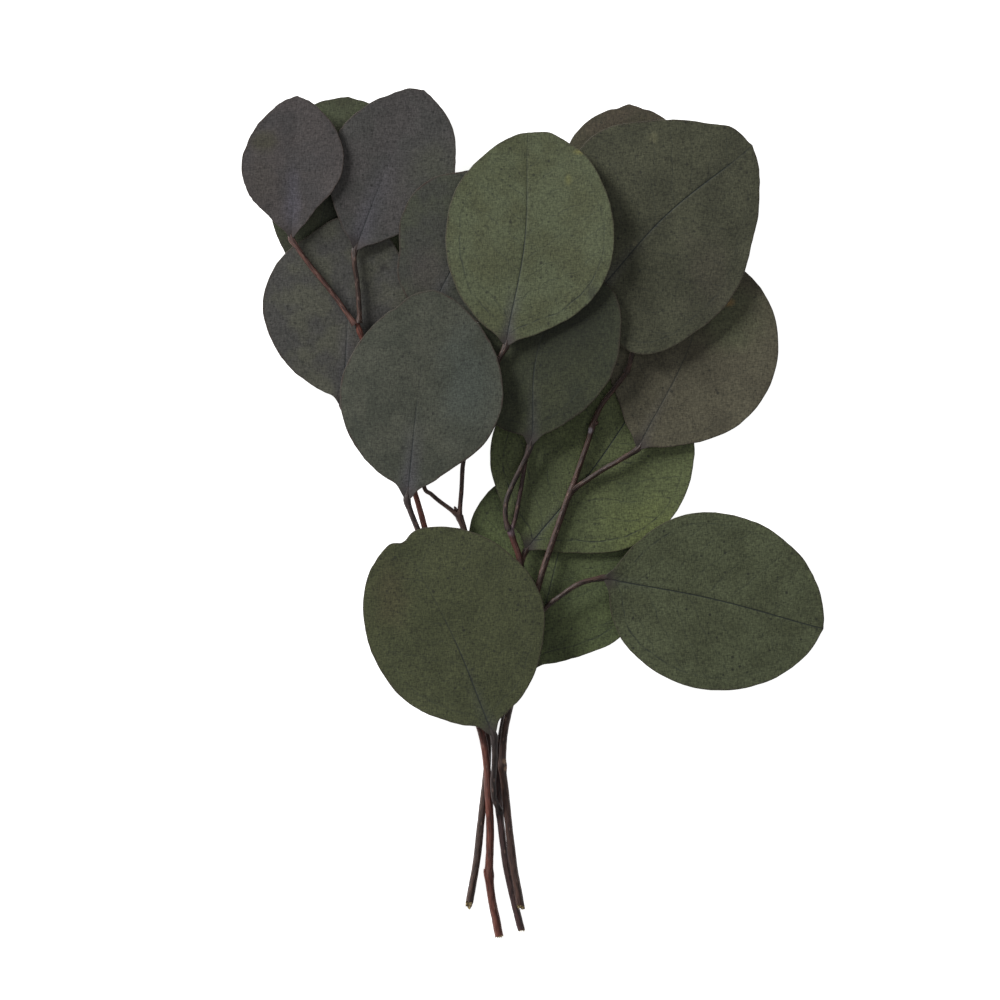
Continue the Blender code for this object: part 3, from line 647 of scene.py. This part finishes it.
# %% The stems
NODE_SWELL, NODE_LENGTH = 0.24, 1.5
COLLAR_SWELL, COLLAR_LENGTH = 0.45, 1.6
ROD_SIDES = 20
TORN_PER_M, TORN_DEPTH = 1400.0, 0.45
CUT_RINGS = ((0.86, 0.02), (0.7, 0.35), (0.4, 0.2))

STEMS = {
    "stem_left": {
        "rods": [
            ([(-20.0, -119.0, 1.06), (-18.9, -113, 1.1), (-17.3, -104, 1.2), (-16.0, -92, 1.2),
              (-14.8, -82, 1.2), (-14.1, -74, 1.2), (-14.4, -65, 1.4), (-16.7, -48, 2.1),
              (-18.9, -30, 2.8), (-20.6, -12, 3.0), (-21.1, -5.2, 3.0), (-22.6, -0.7, 3.1)],
             1.14, 0.95, [(-22.6, -0.9)]),
            ([(-22.6, -0.9, 3.1), (-21.9, 6.8, 3.7), (-21.4, 15, 4.8), (-19.5, 25, 6.4),
              (-16.2, 35, 7.9), (-12.6, 42.5, 8.6)],
             0.7, 0.64, []),
            ([(-22.6, -0.9, 3.1), (-25.1, 1.2, 3.2), (-28.1, 3.4, 3.3), (-30.9, 5.8, 3.5),
              (-33.2, 8.4, 3.9), (-33.8, 20, 4.8), (-32.0, 36, 5.2), (-31.2, 50, 5.3)],
             0.68, 0.62, []),
        ],
        "buds": [((-23.6, 1.4, 3.5), 0.5, 1.8, (-0.6, 0.8, 0.2))],
        "cut": ((-19.4, -116.9, 1.3), (-0.1, -1.0, 0.5)),
        "splinters": 5,
        "torn": 2.4,
        "tones": ("382823", "5a4136", "1d1310"),
        "patches": [(-14.5, -73.7, 1.5, "75565a", 0.6), (-16.0, -58, 9, "552f26", 0.5)],
        "slot": "dark_bark",
    },
    "stem_middle": {
        "rods": [
            ([(-10.3, -128.6, 1.12), (-11.5, -122, 1.2), (-12.7, -116, 1.25), (-13.6, -108.5, 1.4),
              (-13.4, -101, 1.5), (-13.3, -93, 1.9), (-13.8, -83, 3.6), (-14.3, -75.8, 3.8),
              (-15.0, -69.8, 3.8), (-16.2, -64.6, 3.9), (-20.8, -50, 4.2), (-26.2, -32, 4.3),
              (-30.5, -16, 4.2), (-32.9, -4.3, 4.1), (-36.5, 8.2, 4.0), (-40.6, 18.8, 4.1),
              (-45.6, 33.8, 4.3), (-49.6, 46, 4.6), (-53.2, 57.0, 4.7)],
             1.27, 0.72, [(-13.3, -108.5), (-52.2, 54.6)]),
        ],
        "buds": [((-14.6, -108.5, 1.9), 0.62, 4.2, (-0.22, 1.0, 0.1))],
        "cut": ((-10.4, -126.8, 1.3), (0.25, -1.0, 0.15)),
        "splinters": 3,
        "tones": ("5a2e25", "7c4a3c", "35201a"),
        "slot": "red_bark",
    },
    "stem_right": {
        "rods": [
            ([(-3.7, -120.5, 3.3), (-5.0, -113, 3.2), (-6.5, -104, 3.1), (-7.9, -92, 3.2),
              (-8.9, -82, 3.5), (-9.6, -75.8, 3.9), (-9.2, -67, 4.1), (-7.7, -59.2, 4.4),
              (-4.0, -44.2, 4.7), (-1.1, -30.8, 4.4), (1.1, -21.8, 4.1), (3.4, -14.2, 3.9),
              (6.5, -5.2, 3.8), (9.4, 3.1, 3.8), (10.9, 6.8, 3.8), (13.0, 12.8, 3.9),
              (16.1, 21.8, 4.3), (17.4, 26.5, 4.7), (19.9, 32.2, 5.2), (24.4, 38.2, 5.9),
              (27.4, 42.0, 6.2)],
             1.2, 0.75, [(-9.8, -75.8), (10.9, 6.8), (17.3, 26.0)]),
        ],
        "buds": [((18.3, 26.8, 4.9), 0.65, 2.2, (0.7, 0.7, 0.2))],
        "cut": ((-4.2, -117.9, 3.3), (-0.25, -1.0, 0.45)),
        "splinters": 6,
        "tones": ("3b2822", "5b4036", "241714"),
        "patches": [(-8.9, -74.2, 0.8, "a8876a", 0.5), (-8.6, -76.4, 0.7, "a8876a", 0.5),
                    (16.6, 24.9, 0.9, "8d868e", 0.6)],
        "slot": "grey_bark",
    },
    "stem_back": {
        "rods": [
            ([(-3.4, -127.0, 1.08), (-4.7, -122, 1.1), (-6.9, -113, 1.1), (-8.7, -104, 1.2),
              (-10.2, -92, 1.35), (-10.6, -86, 1.3), (-10.6, -80, 1.2), (-10.4, -71, 1.3),
              (-9.5, -64, 1.7), (-6.8, -50, 2.6), (-4.8, -36, 3.0), (-3.8, -23.2, 3.5),
              (-4.5, -13.7, 4.1), (-6.3, -8.2, 4.3), (-7.3, -5.0, 4.4)],
             1.08, 0.9, [(-10.4, -89.5), (-7.2, -5.4)]),
            ([(-7.3, -5.2, 4.4), (-5.8, -1.6, 4.4), (-4.2, 6.8, 4.4), (-2.7, 15.8, 4.3),
              (-1.3, 23, 4.4), (2.2, 34, 5.2), (7.5, 47, 6.2), (12.3, 56.8, 6.8)],
             0.65, 0.6, []),
        ],
        "buds": [],
        "cut": ((-4.0, -125.0, 1.3), (0.1, -1.0, 0.1)),
        "splinters": 3,
        "tones": ("3a2828", "543b37", "221716"),
        "patches": [(-6.75, -5.25, 1.5, "84707a", 0.6), (-5.9, -10.6, 4, "5c342b", 0.6)],
        "slot": "shaded_bark",
    },
}


def finish_piece(name, form, materials):
    """Turns a finished bmesh into a named piece that stands for its solid and rides with the bunch."""
    bmesh.ops.recalc_face_normals(form, faces=form.faces)
    mesh = bpy.data.meshes.new(name + "_looks")
    form.to_mesh(mesh)
    form.free()
    for finish in materials:
        mesh.materials.append(finish)
    mesh.shade_smooth()
    mesh.set_sharp_from_angle(angle=math.radians(50))
    piece = bpy.data.objects.new(name + "_looks", mesh)
    bpy.context.scene.collection.objects.link(piece)
    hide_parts(name)
    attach(piece, "root")
    return piece


def bud(form, place, radius, length, heading):
    """A small blunt bud that leans out of the bark along its heading."""
    mark = form.verts.layers.float_vector.get(STRAIGHT)
    made = bmesh.ops.create_uvsphere(form, u_segments=16, v_segments=12, radius=radius)
    verts = made["verts"]
    for v in verts:
        v[mark] = v.co.copy()
    bmesh.ops.scale(form, vec=(0.9, 0.9, length / radius / 2), verts=verts)
    for v in verts:
        v.co *= 1 + 0.12 * noise.noise(v.co * 1.4)
    turn = Vector(heading).to_track_quat("Z", "Y")
    bmesh.ops.rotate(form, cent=(0, 0, 0), matrix=turn.to_matrix(), verts=verts)
    bmesh.ops.scale(form, vec=(MM, MM, MM), verts=verts)
    bmesh.ops.translate(form, vec=shifted(place), verts=verts)


def cut_foot(form, place, outward, splinters, torn=TORN_DEPTH):
    """Cuts the foot with a slanted plane, draws the cut in under the bark and adds torn splinters."""
    centre, normal = shifted(place), Vector(outward).normalized()
    found = bmesh.ops.bisect_plane(
        form, geom=form.verts[:] + form.edges[:] + form.faces[:], plane_co=centre, plane_no=normal, clear_outer=True
    )
    edges = [g for g in found["geom_cut"] if isinstance(g, bmesh.types.BMEdge)]
    rim = list(dict.fromkeys(v for e in edges for v in e.verts))
    middle = sum((v.co for v in rim), Vector()) / len(rim)
    for v in rim:
        v.co += normal * noise.noise(v.co * TORN_PER_M) * torn * MM
    for inward, depth in CUT_RINGS:
        made = bmesh.ops.extrude_edge_only(form, edges=edges)["geom"]
        fresh = [g for g in made if isinstance(g, bmesh.types.BMVert)]
        edges = [g for g in made if isinstance(g, bmesh.types.BMEdge) and all(v in fresh for v in g.verts)]
        for v in fresh:
            v.co = middle + (v.co - middle) * inward - normal * depth * MM
        for g in made:
            if isinstance(g, bmesh.types.BMFace):
                g.material_index = 1
    for face in bmesh.ops.contextual_create(form, geom=edges)["faces"]:
        face.material_index = 1
    across = normal.orthogonal().normalized()
    for k in range(splinters):
        turn = math.tau * (k + 0.3 * noise.noise(Vector((k * 1.7, place[0], 0)))) / splinters
        out = across * math.cos(turn) + normal.cross(across) * math.sin(turn)
        length = (1.0 + 0.7 * noise.noise(Vector((k * 3.1, place[1], 5)))) * MM
        made = bmesh.ops.create_cone(
            form, cap_ends=True, segments=5, radius1=0.2 * MM, radius2=0.03 * MM, depth=length
        )
        lean = (normal + out * 0.12).to_track_quat("Z", "Y").to_matrix()
        bmesh.ops.rotate(form, cent=(0, 0, 0), matrix=lean, verts=made["verts"])
        bmesh.ops.translate(form, vec=middle + out * 0.68 * MM + normal * 0.1 * MM, verts=made["verts"])
        for face in {f for v in made["verts"] for f in v.link_faces}:
            face.material_index = 1


def radius_along(path, start, end, swellings, collar=False):
    """A taper from start to end, thicker round each node, and at a twig's collar."""
    travelled = along(path)
    radii = []
    for place, distance in zip(path, travelled):
        radius = start + (end - start) * distance / travelled[-1]
        for spot in swellings:
            off = (place.xy - Vector(spot)).length / NODE_LENGTH
            radius *= 1 + NODE_SWELL * math.exp(-off * off)
        if collar:
            radius *= 1 + COLLAR_SWELL * math.exp(-((distance / COLLAR_LENGTH) ** 2))
        radii.append(radius)
    return radii


def make_stem(name, plan):
    """One whole stem with its twigs, buds and cut foot."""
    form = bmesh.new()
    form.verts.layers.float_vector.new(STRAIGHT)
    for k, (points, start, end, swellings) in enumerate(plan["rods"]):
        path = smooth_path(points)
        radii = radius_along(path, start, end, swellings, collar=k > 0)
        sweep(form, path, radii, ROD_SIDES, ridge=0.1, seed=k * 9.0, caps=(True, True))
        if not k:
            cut_foot(form, *plan["cut"], plan["splinters"], plan.get("torn", TORN_DEPTH))
    for values in plan["buds"]:
        bud(form, *values)
    tone, light, dark = plan["tones"]
    skin = bark(name + " dry twig bark", tone, light, dark, patches=plan.get("patches", ()))
    piece = finish_piece(name, form, [skin, CUT_WOOD])
    print(name, "faces:", len(piece.data.polygons))
    return piece


for name, plan in STEMS.items():
    make_stem(name, plan)

# %% [markdown]
# Each leaf has its own outline, lie and stalk, again the solids' own numbers, and its own finish: the tone
# and the second tone of its mottle, the purple-grey zone as width, length and strength, and how strongly
# its midrib, laterals and border vein show. Patches give a place, a size in millimetres and a tone; most
# are the leaf's own blotches, and a few dark ones are painted shade where leaves above shadow this one.

# %% What each leaf looks like
LEAVES = {
    "leaf_left_behind": {
        "outline": {"base": (-68.2, 68.2), "tip": (-55.9, 124.8),
                    "left": (25.5, 21.5, 19.0, 18.2, 21.0), "right": (29.4, 26.0, 25.5, 28.5, 25.5)},
        "lie": {"height": 0.4, "rise_tip": 0.8, "rise_left": -0.4, "wave": 0.15},
        "stalk": [(-42.6, 25.0, 3.8), (-46.5, 32.5, 2.0), (-52.0, 43.0, 0.9), (-60.0, 56.0, 0.8)],
        "slot": "pale_leaf",
        "look": {"tone": "494e39", "second": "3d3f2e", "zone": (1.0, 20.0, 0.2),
                 # Both dark patches are painted shade, where the leaves above shadow this lowest leaf.
                 "patches": [(-74.5, 80, 12, 18, "313427", 0.6), (-59.5, 92, 9, 11, "1e1f1a", 0.6)], "veins": (0.4, 0.13, 0.14),
                 "rim": 0.15},
    },
    "leaf_left_low": {
        "outline": {"base": (-57.4, 31.6), "tip": (-54.4, 89.8),
                    "left": (25.6, 25.7, 25.6, 24.5, 24.4), "right": (24.5, 19.2, 18.5, 18.5, 21.0),
                    "base_point": 3.5},
        "lie": {"height": 2.7, "rise_tip": 0.2, "rise_left": -0.2, "wave": 0.15, "phase": 1.0},
        "stalk": [(-38.6, 13.4, 3.9), (-43.5, 18.0, 3.1), (-50.0, 25.5, 2.3)],
        "slot": "grey_leaf",
        "look": {"tone": "4d4d42", "second": "43423f", "zone": (3.0, 45.0, 0.6), "veins": (0.6, 0.2, 0.24), "rib_span": (0.3, 0.7),
                 "rim": 0.64, "specks": 0.6,
                 "patches": [(-46, 46, 13, 22, "494146", 0.6), (-45.2, 73.6, 2.5, 2.0, "2c2a27", 0.8)]},
    },
    "leaf_top_left": {
        "outline": {"base": (-53.9, 78.8), "tip": (-33.2, 126.7),
                    "left": (21.9, 19.5, 19.0, 18.5, 20.0), "right": (23.2, 20.0, 20.0, 20.0, 19.5),
                    "nicks": [(9, 0.4, 6), (-12, -0.45, 8)]},
        "lie": {"height": 4.1, "rise_tip": -1.2, "rise_left": 0.0, "fold": 0.4, "wave": 0.3, "phase": 0.6,
                "bow": 0.9},
        "stalk": [(-52.6, 57.0, 4.7), (-52.5, 61.0, 4.6), (-53.2, 69.8, 4.5), (-54.0, 75.0, 4.6)],
        "slot": "purple_leaf",
        "look": {"tone": "474443", "second": "42413f", "zone": (5.0, 40.0, 0.7), "zone_tone": "4d4b53",
                 "rib_span": (0.2, 0.55), "veins": (0.55, 0.14, 0.14),
                 "rim": 0.6, "patches": [(-30, 103, 12, 14, "46483c", 0.7)]},
    },
    "leaf_top_left_small": {
        "outline": {"base": (-72.8, 82.3), "tip": (-71.0, 124.9),
                    "left": (18.0, 16.2, 15.9, 15.9, 16.1), "right": (18.0, 16.0, 14.5, 13.5, 14.0)},
        "lie": {"height": 5.2, "rise_tip": -0.4, "rise_left": -1.4, "fold": 0.5, "wave": 0.3, "phase": 2.0},
        "stalk": [(-53.8, 56.6, 4.9), (-55.9, 59.6, 5.0), (-58.9, 63.8, 4.9), (-62.5, 68.5, 4.8),
                  (-66.6, 73.4, 4.9), (-70.4, 78.6, 5.1)],
        "slot": "purple_leaf",
        "stalk_tones": ("49312c", "80594f", "261917"),
        "look": {"tone": "464140", "second": "3f3c3c", "zone": (2.0, 30.0, 0.4), "rib_span": (0.1, 0.5),
                 "veins": (0.25, 0.1, 0.12),
                 "rim": 0.64, "patches": [(-72.5, 95, 4, 14, "4d4a54", 0.6), (-82, 100, 6, 12, "48433e", 0.5),
                                        (-81.5, 111.8, 6, 5, "3f3d2f", 0.8)]},
    },
    "leaf_middle_behind": {
        "outline": {"base": (-32.5, 58.5), "tip": (-10.0, 101.5),
                    "left": (22.5, 22.4, 20.8, 19.4, 22.4), "right": (20.5, 17.0, 17.5, 21.0, 23.5),
                    "base_point": 0.5},
        "lie": {"height": 6.1, "rise_tip": 0.8, "rise_left": 0.2, "wave": 0.15},
        "stalk": [(-31.2, 50.0, 5.3), (-31.7, 54.5, 5.4)],
        "slot": "purple_leaf",
        "look": {"tone": "434639", "second": "3d3e38", "zone": (3.0, 30.0, 0.5), "veins": (0.6, 0.2, 0.21),
                 # Its strong dark rim is partly the real dry rim and partly painted shade along the edge where it lies
                 # over leaf_top_left.
                 "rim": 0.95, "patches": [(-32.5, 72.8, 10, 12, "484241", 0.6)]},
    },
    "leaf_low_behind": {
        "outline": {"base": (-1.5, -47.0), "tip": (12.8, 10.9),
                    "left": (32.0, 30.7, 26.5, 24.0, 24.5), "right": (29.5, 29.5, 29.8, 27.7, 25.9)},
        "lie": {"height": 1.0, "rise_tip": 0.3, "rise_left": -0.5, "wave": 0.15, "phase": 1.4},
        "stalk": [(-7.4, -53.6, 2.4), (-4.6, -51.0, 1.7)],
        "slot": "green_leaf",
        "look": {"grain": 1.12, "tone": "555f3b", "second": "4c5536", "zone": (1.5, 30.0, 0.4), "veins": (0.65, 0.35, 0.5), "rib_span": (0.8, 1.2),
                 "rim": 0.38},
    },
    "leaf_right_green": {
        "outline": {"base": (-2.5, -10.9), "tip": (36.4, 41.5),
                    "left": (30.0, 29.5, 31.0, 30.5, 29.4), "right": (32.0, 30.5, 29.2, 28.0, 27.5)},
        "lie": {"height": 2.6, "rise_tip": -0.6, "rise_left": 0.2, "wave": 0.15, "bow": -1.6},
        "stalk": [(-4.4, -16.0, 4.0), (-3.5, -13.4, 3.4)],
        "slot": "green_leaf",
        "look": {"grain": 1.12, "tone": "59613e", "second": "515939", "zone": (1.5, 25.0, 0.5), "veins": (0.95, 0.42, 0.75), "rib_span": (0.9, 1.2),
                 "rim": 0.34, "patches": [(33, -6, 20, 16, "61693d", 0.8), (2, 8, 14, 20, "4c5338", 0.6)]},
    },
    "leaf_right_brown": {
        "outline": {"base": (31.0, 19.3), "tip": (55.4, 77.0),
                    "left": (27.5, 23.5, 21.5, 21.5, 23.0), "right": (31.2, 30.2, 29.0, 28.0, 27.5)},
        "lie": {"height": 3.5, "rise_tip": -2.0, "rise_left": 0.8, "wave": 0.2, "bow": -2.2},
        "stalk": [(11.4, 7.2, 3.8), (15.4, 9.8, 3.9), (19.9, 12.8, 4.1), (25.5, 16.0, 4.4)],
        "slot": "brown_leaf",
        "look": {"tone": "5a5645", "second": "514d3e", "zone": (2.0, 30.0, 0.3), "veins": (0.6, 0.23, 0.24),
                 "rim": 0.45, "patches": [(56, 60, 18, 14, "5a5f45", 0.7), (58, 63.2, 2.6, 1.8, "90774d", 0.9)]},
    },
    "leaf_top_right_behind": {
        "outline": {"base": (29.8, 50.9), "tip": (28.4, 122.5),
                    "left": (32.2, 24.0, 21.0, 21.5, 25.0), "right": (31.0, 25.0, 22.0, 21.5, 25.0),
                    "nicks": [(6, -0.5, 2.5), (-7, -0.4, 2)]},
        "lie": {"height": 3.4, "rise_tip": -6.1, "wave": 0.15},
        "stalk": [(27.4, 42.0, 6.2), (28.6, 45.4, 6.3)],
        "slot": "brown_leaf",
        "look": {"tone": "4a4336", "second": "444032", "zone": (2.0, 30.0, 0.3), "veins": (0.5, 0.16, 0.24),
                 "rim": 0.52, "patches": [(12, 100, 9, 22, "474733", 0.6)]},
    },
    "leaf_top_right_large": {
        "outline": {"base": (16.9, 64.6), "tip": (65.0, 110.0),
                    "left": (31.2, 31.1, 35.0, 33.5, 32.0), "right": (27.1, 25.1, 28.3, 33.6, 41.0),
                    "nicks": [(14, 1.35, 9)]},
        "lie": {"height": 5.8, "rise_tip": -3.6, "arch": -0.5, "wave": 0.2, "bow": 2.5},
        "stalk": [(12.3, 56.8, 6.8), (14.2, 60.2, 7.2)],
        "slot": "olive_leaf",
        "look": {"grain": 1.12, "tone": "4a4b39", "second": "414232", "zone": (2.0, 35.0, 0.3), "veins": (0.8, 0.25, 0.35), "rib_span": (0.8, 1.2),
                 "rim": 0.41,
                 "patches": [(52, 70, 12, 20, "433e34", 0.5), (35.6, 112.6, 2.2, 2.2, "605f47", 0.8),
                             (29.9, 80.9, 1.0, 1.0, "6a6850", 0.9), (48.2, 66.2, 1.1, 1.1, "262520", 0.9)]},
    },
    "leaf_centre_dark": {
        "outline": {"base": (-1.3, 20.2), "tip": (11.5, 73.3),
                    "left": (25.5, 25.0, 24.0, 22.5, 26.0), "right": (27.0, 21.5, 19.0, 18.0, 19.7),
                    "base_point": 3.2},
        "lie": {"height": 8.4, "rise_tip": 2.6, "rise_left": -2.8, "arch": 0.3, "wave": 0.15, "bow": 4.5},
        "stalk": [(-7.8, -4.8, 4.9), (-8.7, -1.5, 5.0), (-8.6, 2.9, 5.1), (-7.4, 6.8, 5.3), (-4.7, 12.6, 5.9),
                  (-2.5, 17.0, 6.2)],
        "slot": "olive_leaf",
        "stalk_tones": ("312724", "523d37", "1b1513"),
        # The broad dark patch at the top is painted shadow, cast by leaf_top_bright lying above this leaf.
        "look": {"grain": 1.12, "tone": "3b3f2b", "second": "333727", "zone": (2.0, 25.0, 0.4), "veins": (0.65, 0.2, 0.28), "patches": [(8, 62, 26, 24, "1c1f16", 0.7)],
                 "rim": 0.38},
    },
    "leaf_top_bright": {
        "outline": {"base": (-8.5, 50.2), "tip": (-1.9, 114.2),
                    "left": (26.6, 23.3, 21.5, 22.2, 25.2), "right": (32.4, 29.7, 29.0, 29.0, 28.5),
                    "nicks": [(0, -0.4, 2.5), (-11, 0.7, 5)]},
        "lie": {"height": 10.1, "rise_tip": -1.8, "rise_left": -2.6, "arch": 0.8, "fold": 0.3, "wave": 0.3,
                "bow": -2.3},
        "stalk": [(-12.6, 42.5, 8.6), (-10.5, 46.6, 9.2)],
        "slot": "bright_leaf",
        "look": {"tone": "535940", "second": "4d5138", "zone": (2.5, 22.0, 0.7), "veins": (0.75, 0.3, 0.6), "rib_span": (0.5, 1.3),
                 "rim": 0.34,
                 "patches": [(13.4, 108.2, 3.0, 1.3, "767444", 0.8), (10.1, 99.8, 1.5, 2.6, "6e6f42", 0.6),
                             (17.0, 66.2, 3.0, 4.0, "373a2e", 0.7)]},
    },
    "leaf_middle_front": {
        "outline": {"base": (-38.2, 4.0), "tip": (-30.4, 66.8),
                    "left": (26.5, 24.0, 24.0, 24.2, 25.4), "right": (27.9, 25.5, 24.8, 24.1, 24.1),
                    "base_point": 3.4, "nicks": [(21, -0.7, 5), (169, -0.5, 6)]},
        "lie": {"height": 8.6, "rise_tip": 2.0, "rise_left": -4.8, "wave": 0.2, "phase": 0.8, "bow": 0.6},
        "stalk": [(-31.0, -15.0, 4.2), (-32.9, -9.6, 5.0), (-35.1, -4.4, 5.5), (-37.2, 0.8, 6.3)],
        "thick": 0.88,
        "stalk_tones": ("3c3130", "5f4e4a", "211918"),
        "slot": "grey_leaf",
        "look": {"tone": "46483d", "second": "3d4036", "zone": (4.0, 30.0, 0.8), "veins": (0.75, 0.2, 0.28), "rib_span": (0.2, 0.65),
                 "rim": 0.9, "specks": 0.6, "patches": [(-20, 40, 13, 24, "404741", 0.7)]},
    },
    "leaf_right_low": {
        "outline": {"base": (20.8, -19.3), "tip": (86.5, -34.5),
                    "left": (31.0, 28.2, 27.1, 27.9, 29.0), "right": (30.0, 26.9, 26.0, 27.0, 30.0)},
        "lie": {"height": 3.0, "rise_tip": -5.6, "rise_left": 0.6, "wave": 0.3, "phase": 0.5, "bow": 1.2},
        "stalk": [(-2.0, -35.0, 5.0), (2.9, -28.6, 5.2), (7.9, -24.6, 5.4), (13.9, -20.8, 5.6)],
        "slot": "olive_leaf",
        "look": {"grain": 1.12, "tone": "545a40", "second": "4c5139", "zone": (2.0, 20.0, 0.5), "zone_tone": "43473d", "veins": (0.85, 0.32, 0.55), "rib_span": (0.95, 1.2),
                 "rim": 0.38, "specks": 0.7},
    },
    "leaf_low_front": {
        "outline": {"base": (-12.2, -66.5), "tip": (-39.2, -8.6),
                    "left": (30.1, 25.0, 22.5, 22.6, 24.2), "right": (33.2, 31.5, 30.5, 28.0, 27.7),
                    "tip_point": -2.2, "base_point": 4.0},
        "lie": {"height": 7.7, "rise_tip": -0.4, "rise_left": -1.2, "cup": -0.4, "wave": 0.3, "bow": -1.5},
        "stalk": [(-10.3, -89.5, 1.6), (-11.1, -87.7, 4.0), (-12.1, -85.0, 5.6), (-12.4, -80.0, 6.3),
                  (-12.0, -75.0, 6.8), (-12.0, -70.0, 7.4)],
        "slot": "olive_leaf",
        "thick": 0.88,
        "stalk_tones": ("2a1f1d", "433430", "161010"),
        "look": {"grain": 1.12, "tone": "464a2f", "second": "3f432a", "zone": (2.5, 30.0, 0.5),
                 "zone_tone": "3f433b", "veins": (0.75, 0.23, 0.28),
                 "rim": 0.45, "patches": [(-43, -23, 8, 16, "4a462f", 0.6)]},
    },
}
print("leaves:", len(LEAVES))

# %% [markdown]
# The stalk begins in the middle of its twig, with a small collar, and runs up the blade as the rib that
# stands out on the leaf's underside. It thins and sinks as it goes, so that from above only a narrow
# start of it shows and then the groove of the midrib.

# %% Stalks and whole leaves
STALK_RADIUS, STALK_TIP_RADIUS = 0.75, 0.4
STALK_SIDES = 14
RIB_REACHES = (0.0, 2.5, 6.0, 12.0)
RIB_SINKS = (0.42, 0.62, 0.62, 0.55)
FLARE, FLARE_LENGTH, FLARE_FLAT = 0.35, 2.2, 0.62
STALK_TONES = ("352620", "533a30", "1b120f")


def stalk(form, shape, lie, points, thick=STALK_RADIUS):
    """Sweeps the leaf's stalk from its twig onto the blade, and returns the length of its free part."""
    on_blade = []
    for reach, sink in zip(RIB_REACHES, RIB_SINKS):
        place, u, w = leaf_place(shape, lie, 180, 1 - reach / shape["half"])
        place.z -= sink
        on_blade.append(place)
    path = smooth_path([*points, *on_blade])
    travelled = along(path)
    seat = min(range(len(path)), key=lambda i: (path[i].xy - on_blade[0].xy).length)
    radii, squash = [], []
    for place, distance in zip(path, travelled):
        past = max(0.0, distance - travelled[seat]) / (travelled[-1] - travelled[seat])
        radius = thick + (STALK_TIP_RADIUS - thick) * min(1.0, 1.4 * past)
        radius *= 1 + COLLAR_SWELL * math.exp(-((distance / COLLAR_LENGTH) ** 2))
        near_seat = math.exp(-(((distance - travelled[seat]) / FLARE_LENGTH) ** 2))
        radii.append(radius * (1 + FLARE * near_seat))
        squash.append(1 - (1 - FLARE_FLAT) * near_seat)
        place.z = max(place.z, radius * 0.9)
    sweep(form, path, radii, STALK_SIDES, ridge=0.1, seed=points[0][0], caps=(True, True), squash=squash)
    return travelled[seat]


def make_leaf(name, plan):
    """One whole leaf: its blade, its stalk and their two finishes."""
    form = bmesh.new()
    shape = leaf_shape(**plan["outline"])
    lie = PLAIN_LIE | plan["lie"]
    look = plan["look"]
    blade(form, shape, lie, look)
    blade_faces = set(form.faces)
    free = stalk(form, shape, lie, plan["stalk"], plan.get("thick", STALK_RADIUS))
    for face in form.faces:
        if face not in blade_faces:
            face.material_index = 1
    skin = leaf_skin(name + " preserved leaf skin", look, 2 * shape["half"])
    tone, light, dark = plan.get("stalk_tones", STALK_TONES)
    cover = bark(name + " stalk bark", tone, light, dark, end=(free - 2.0, free + 3.0, look.get("foot_tone", FOOT_TONE)))
    piece = finish_piece(name, form, [skin, cover])
    print(name, "faces:", len(piece.data.polygons))
    return piece


for name, plan in LEAVES.items():
    make_leaf(name, plan)
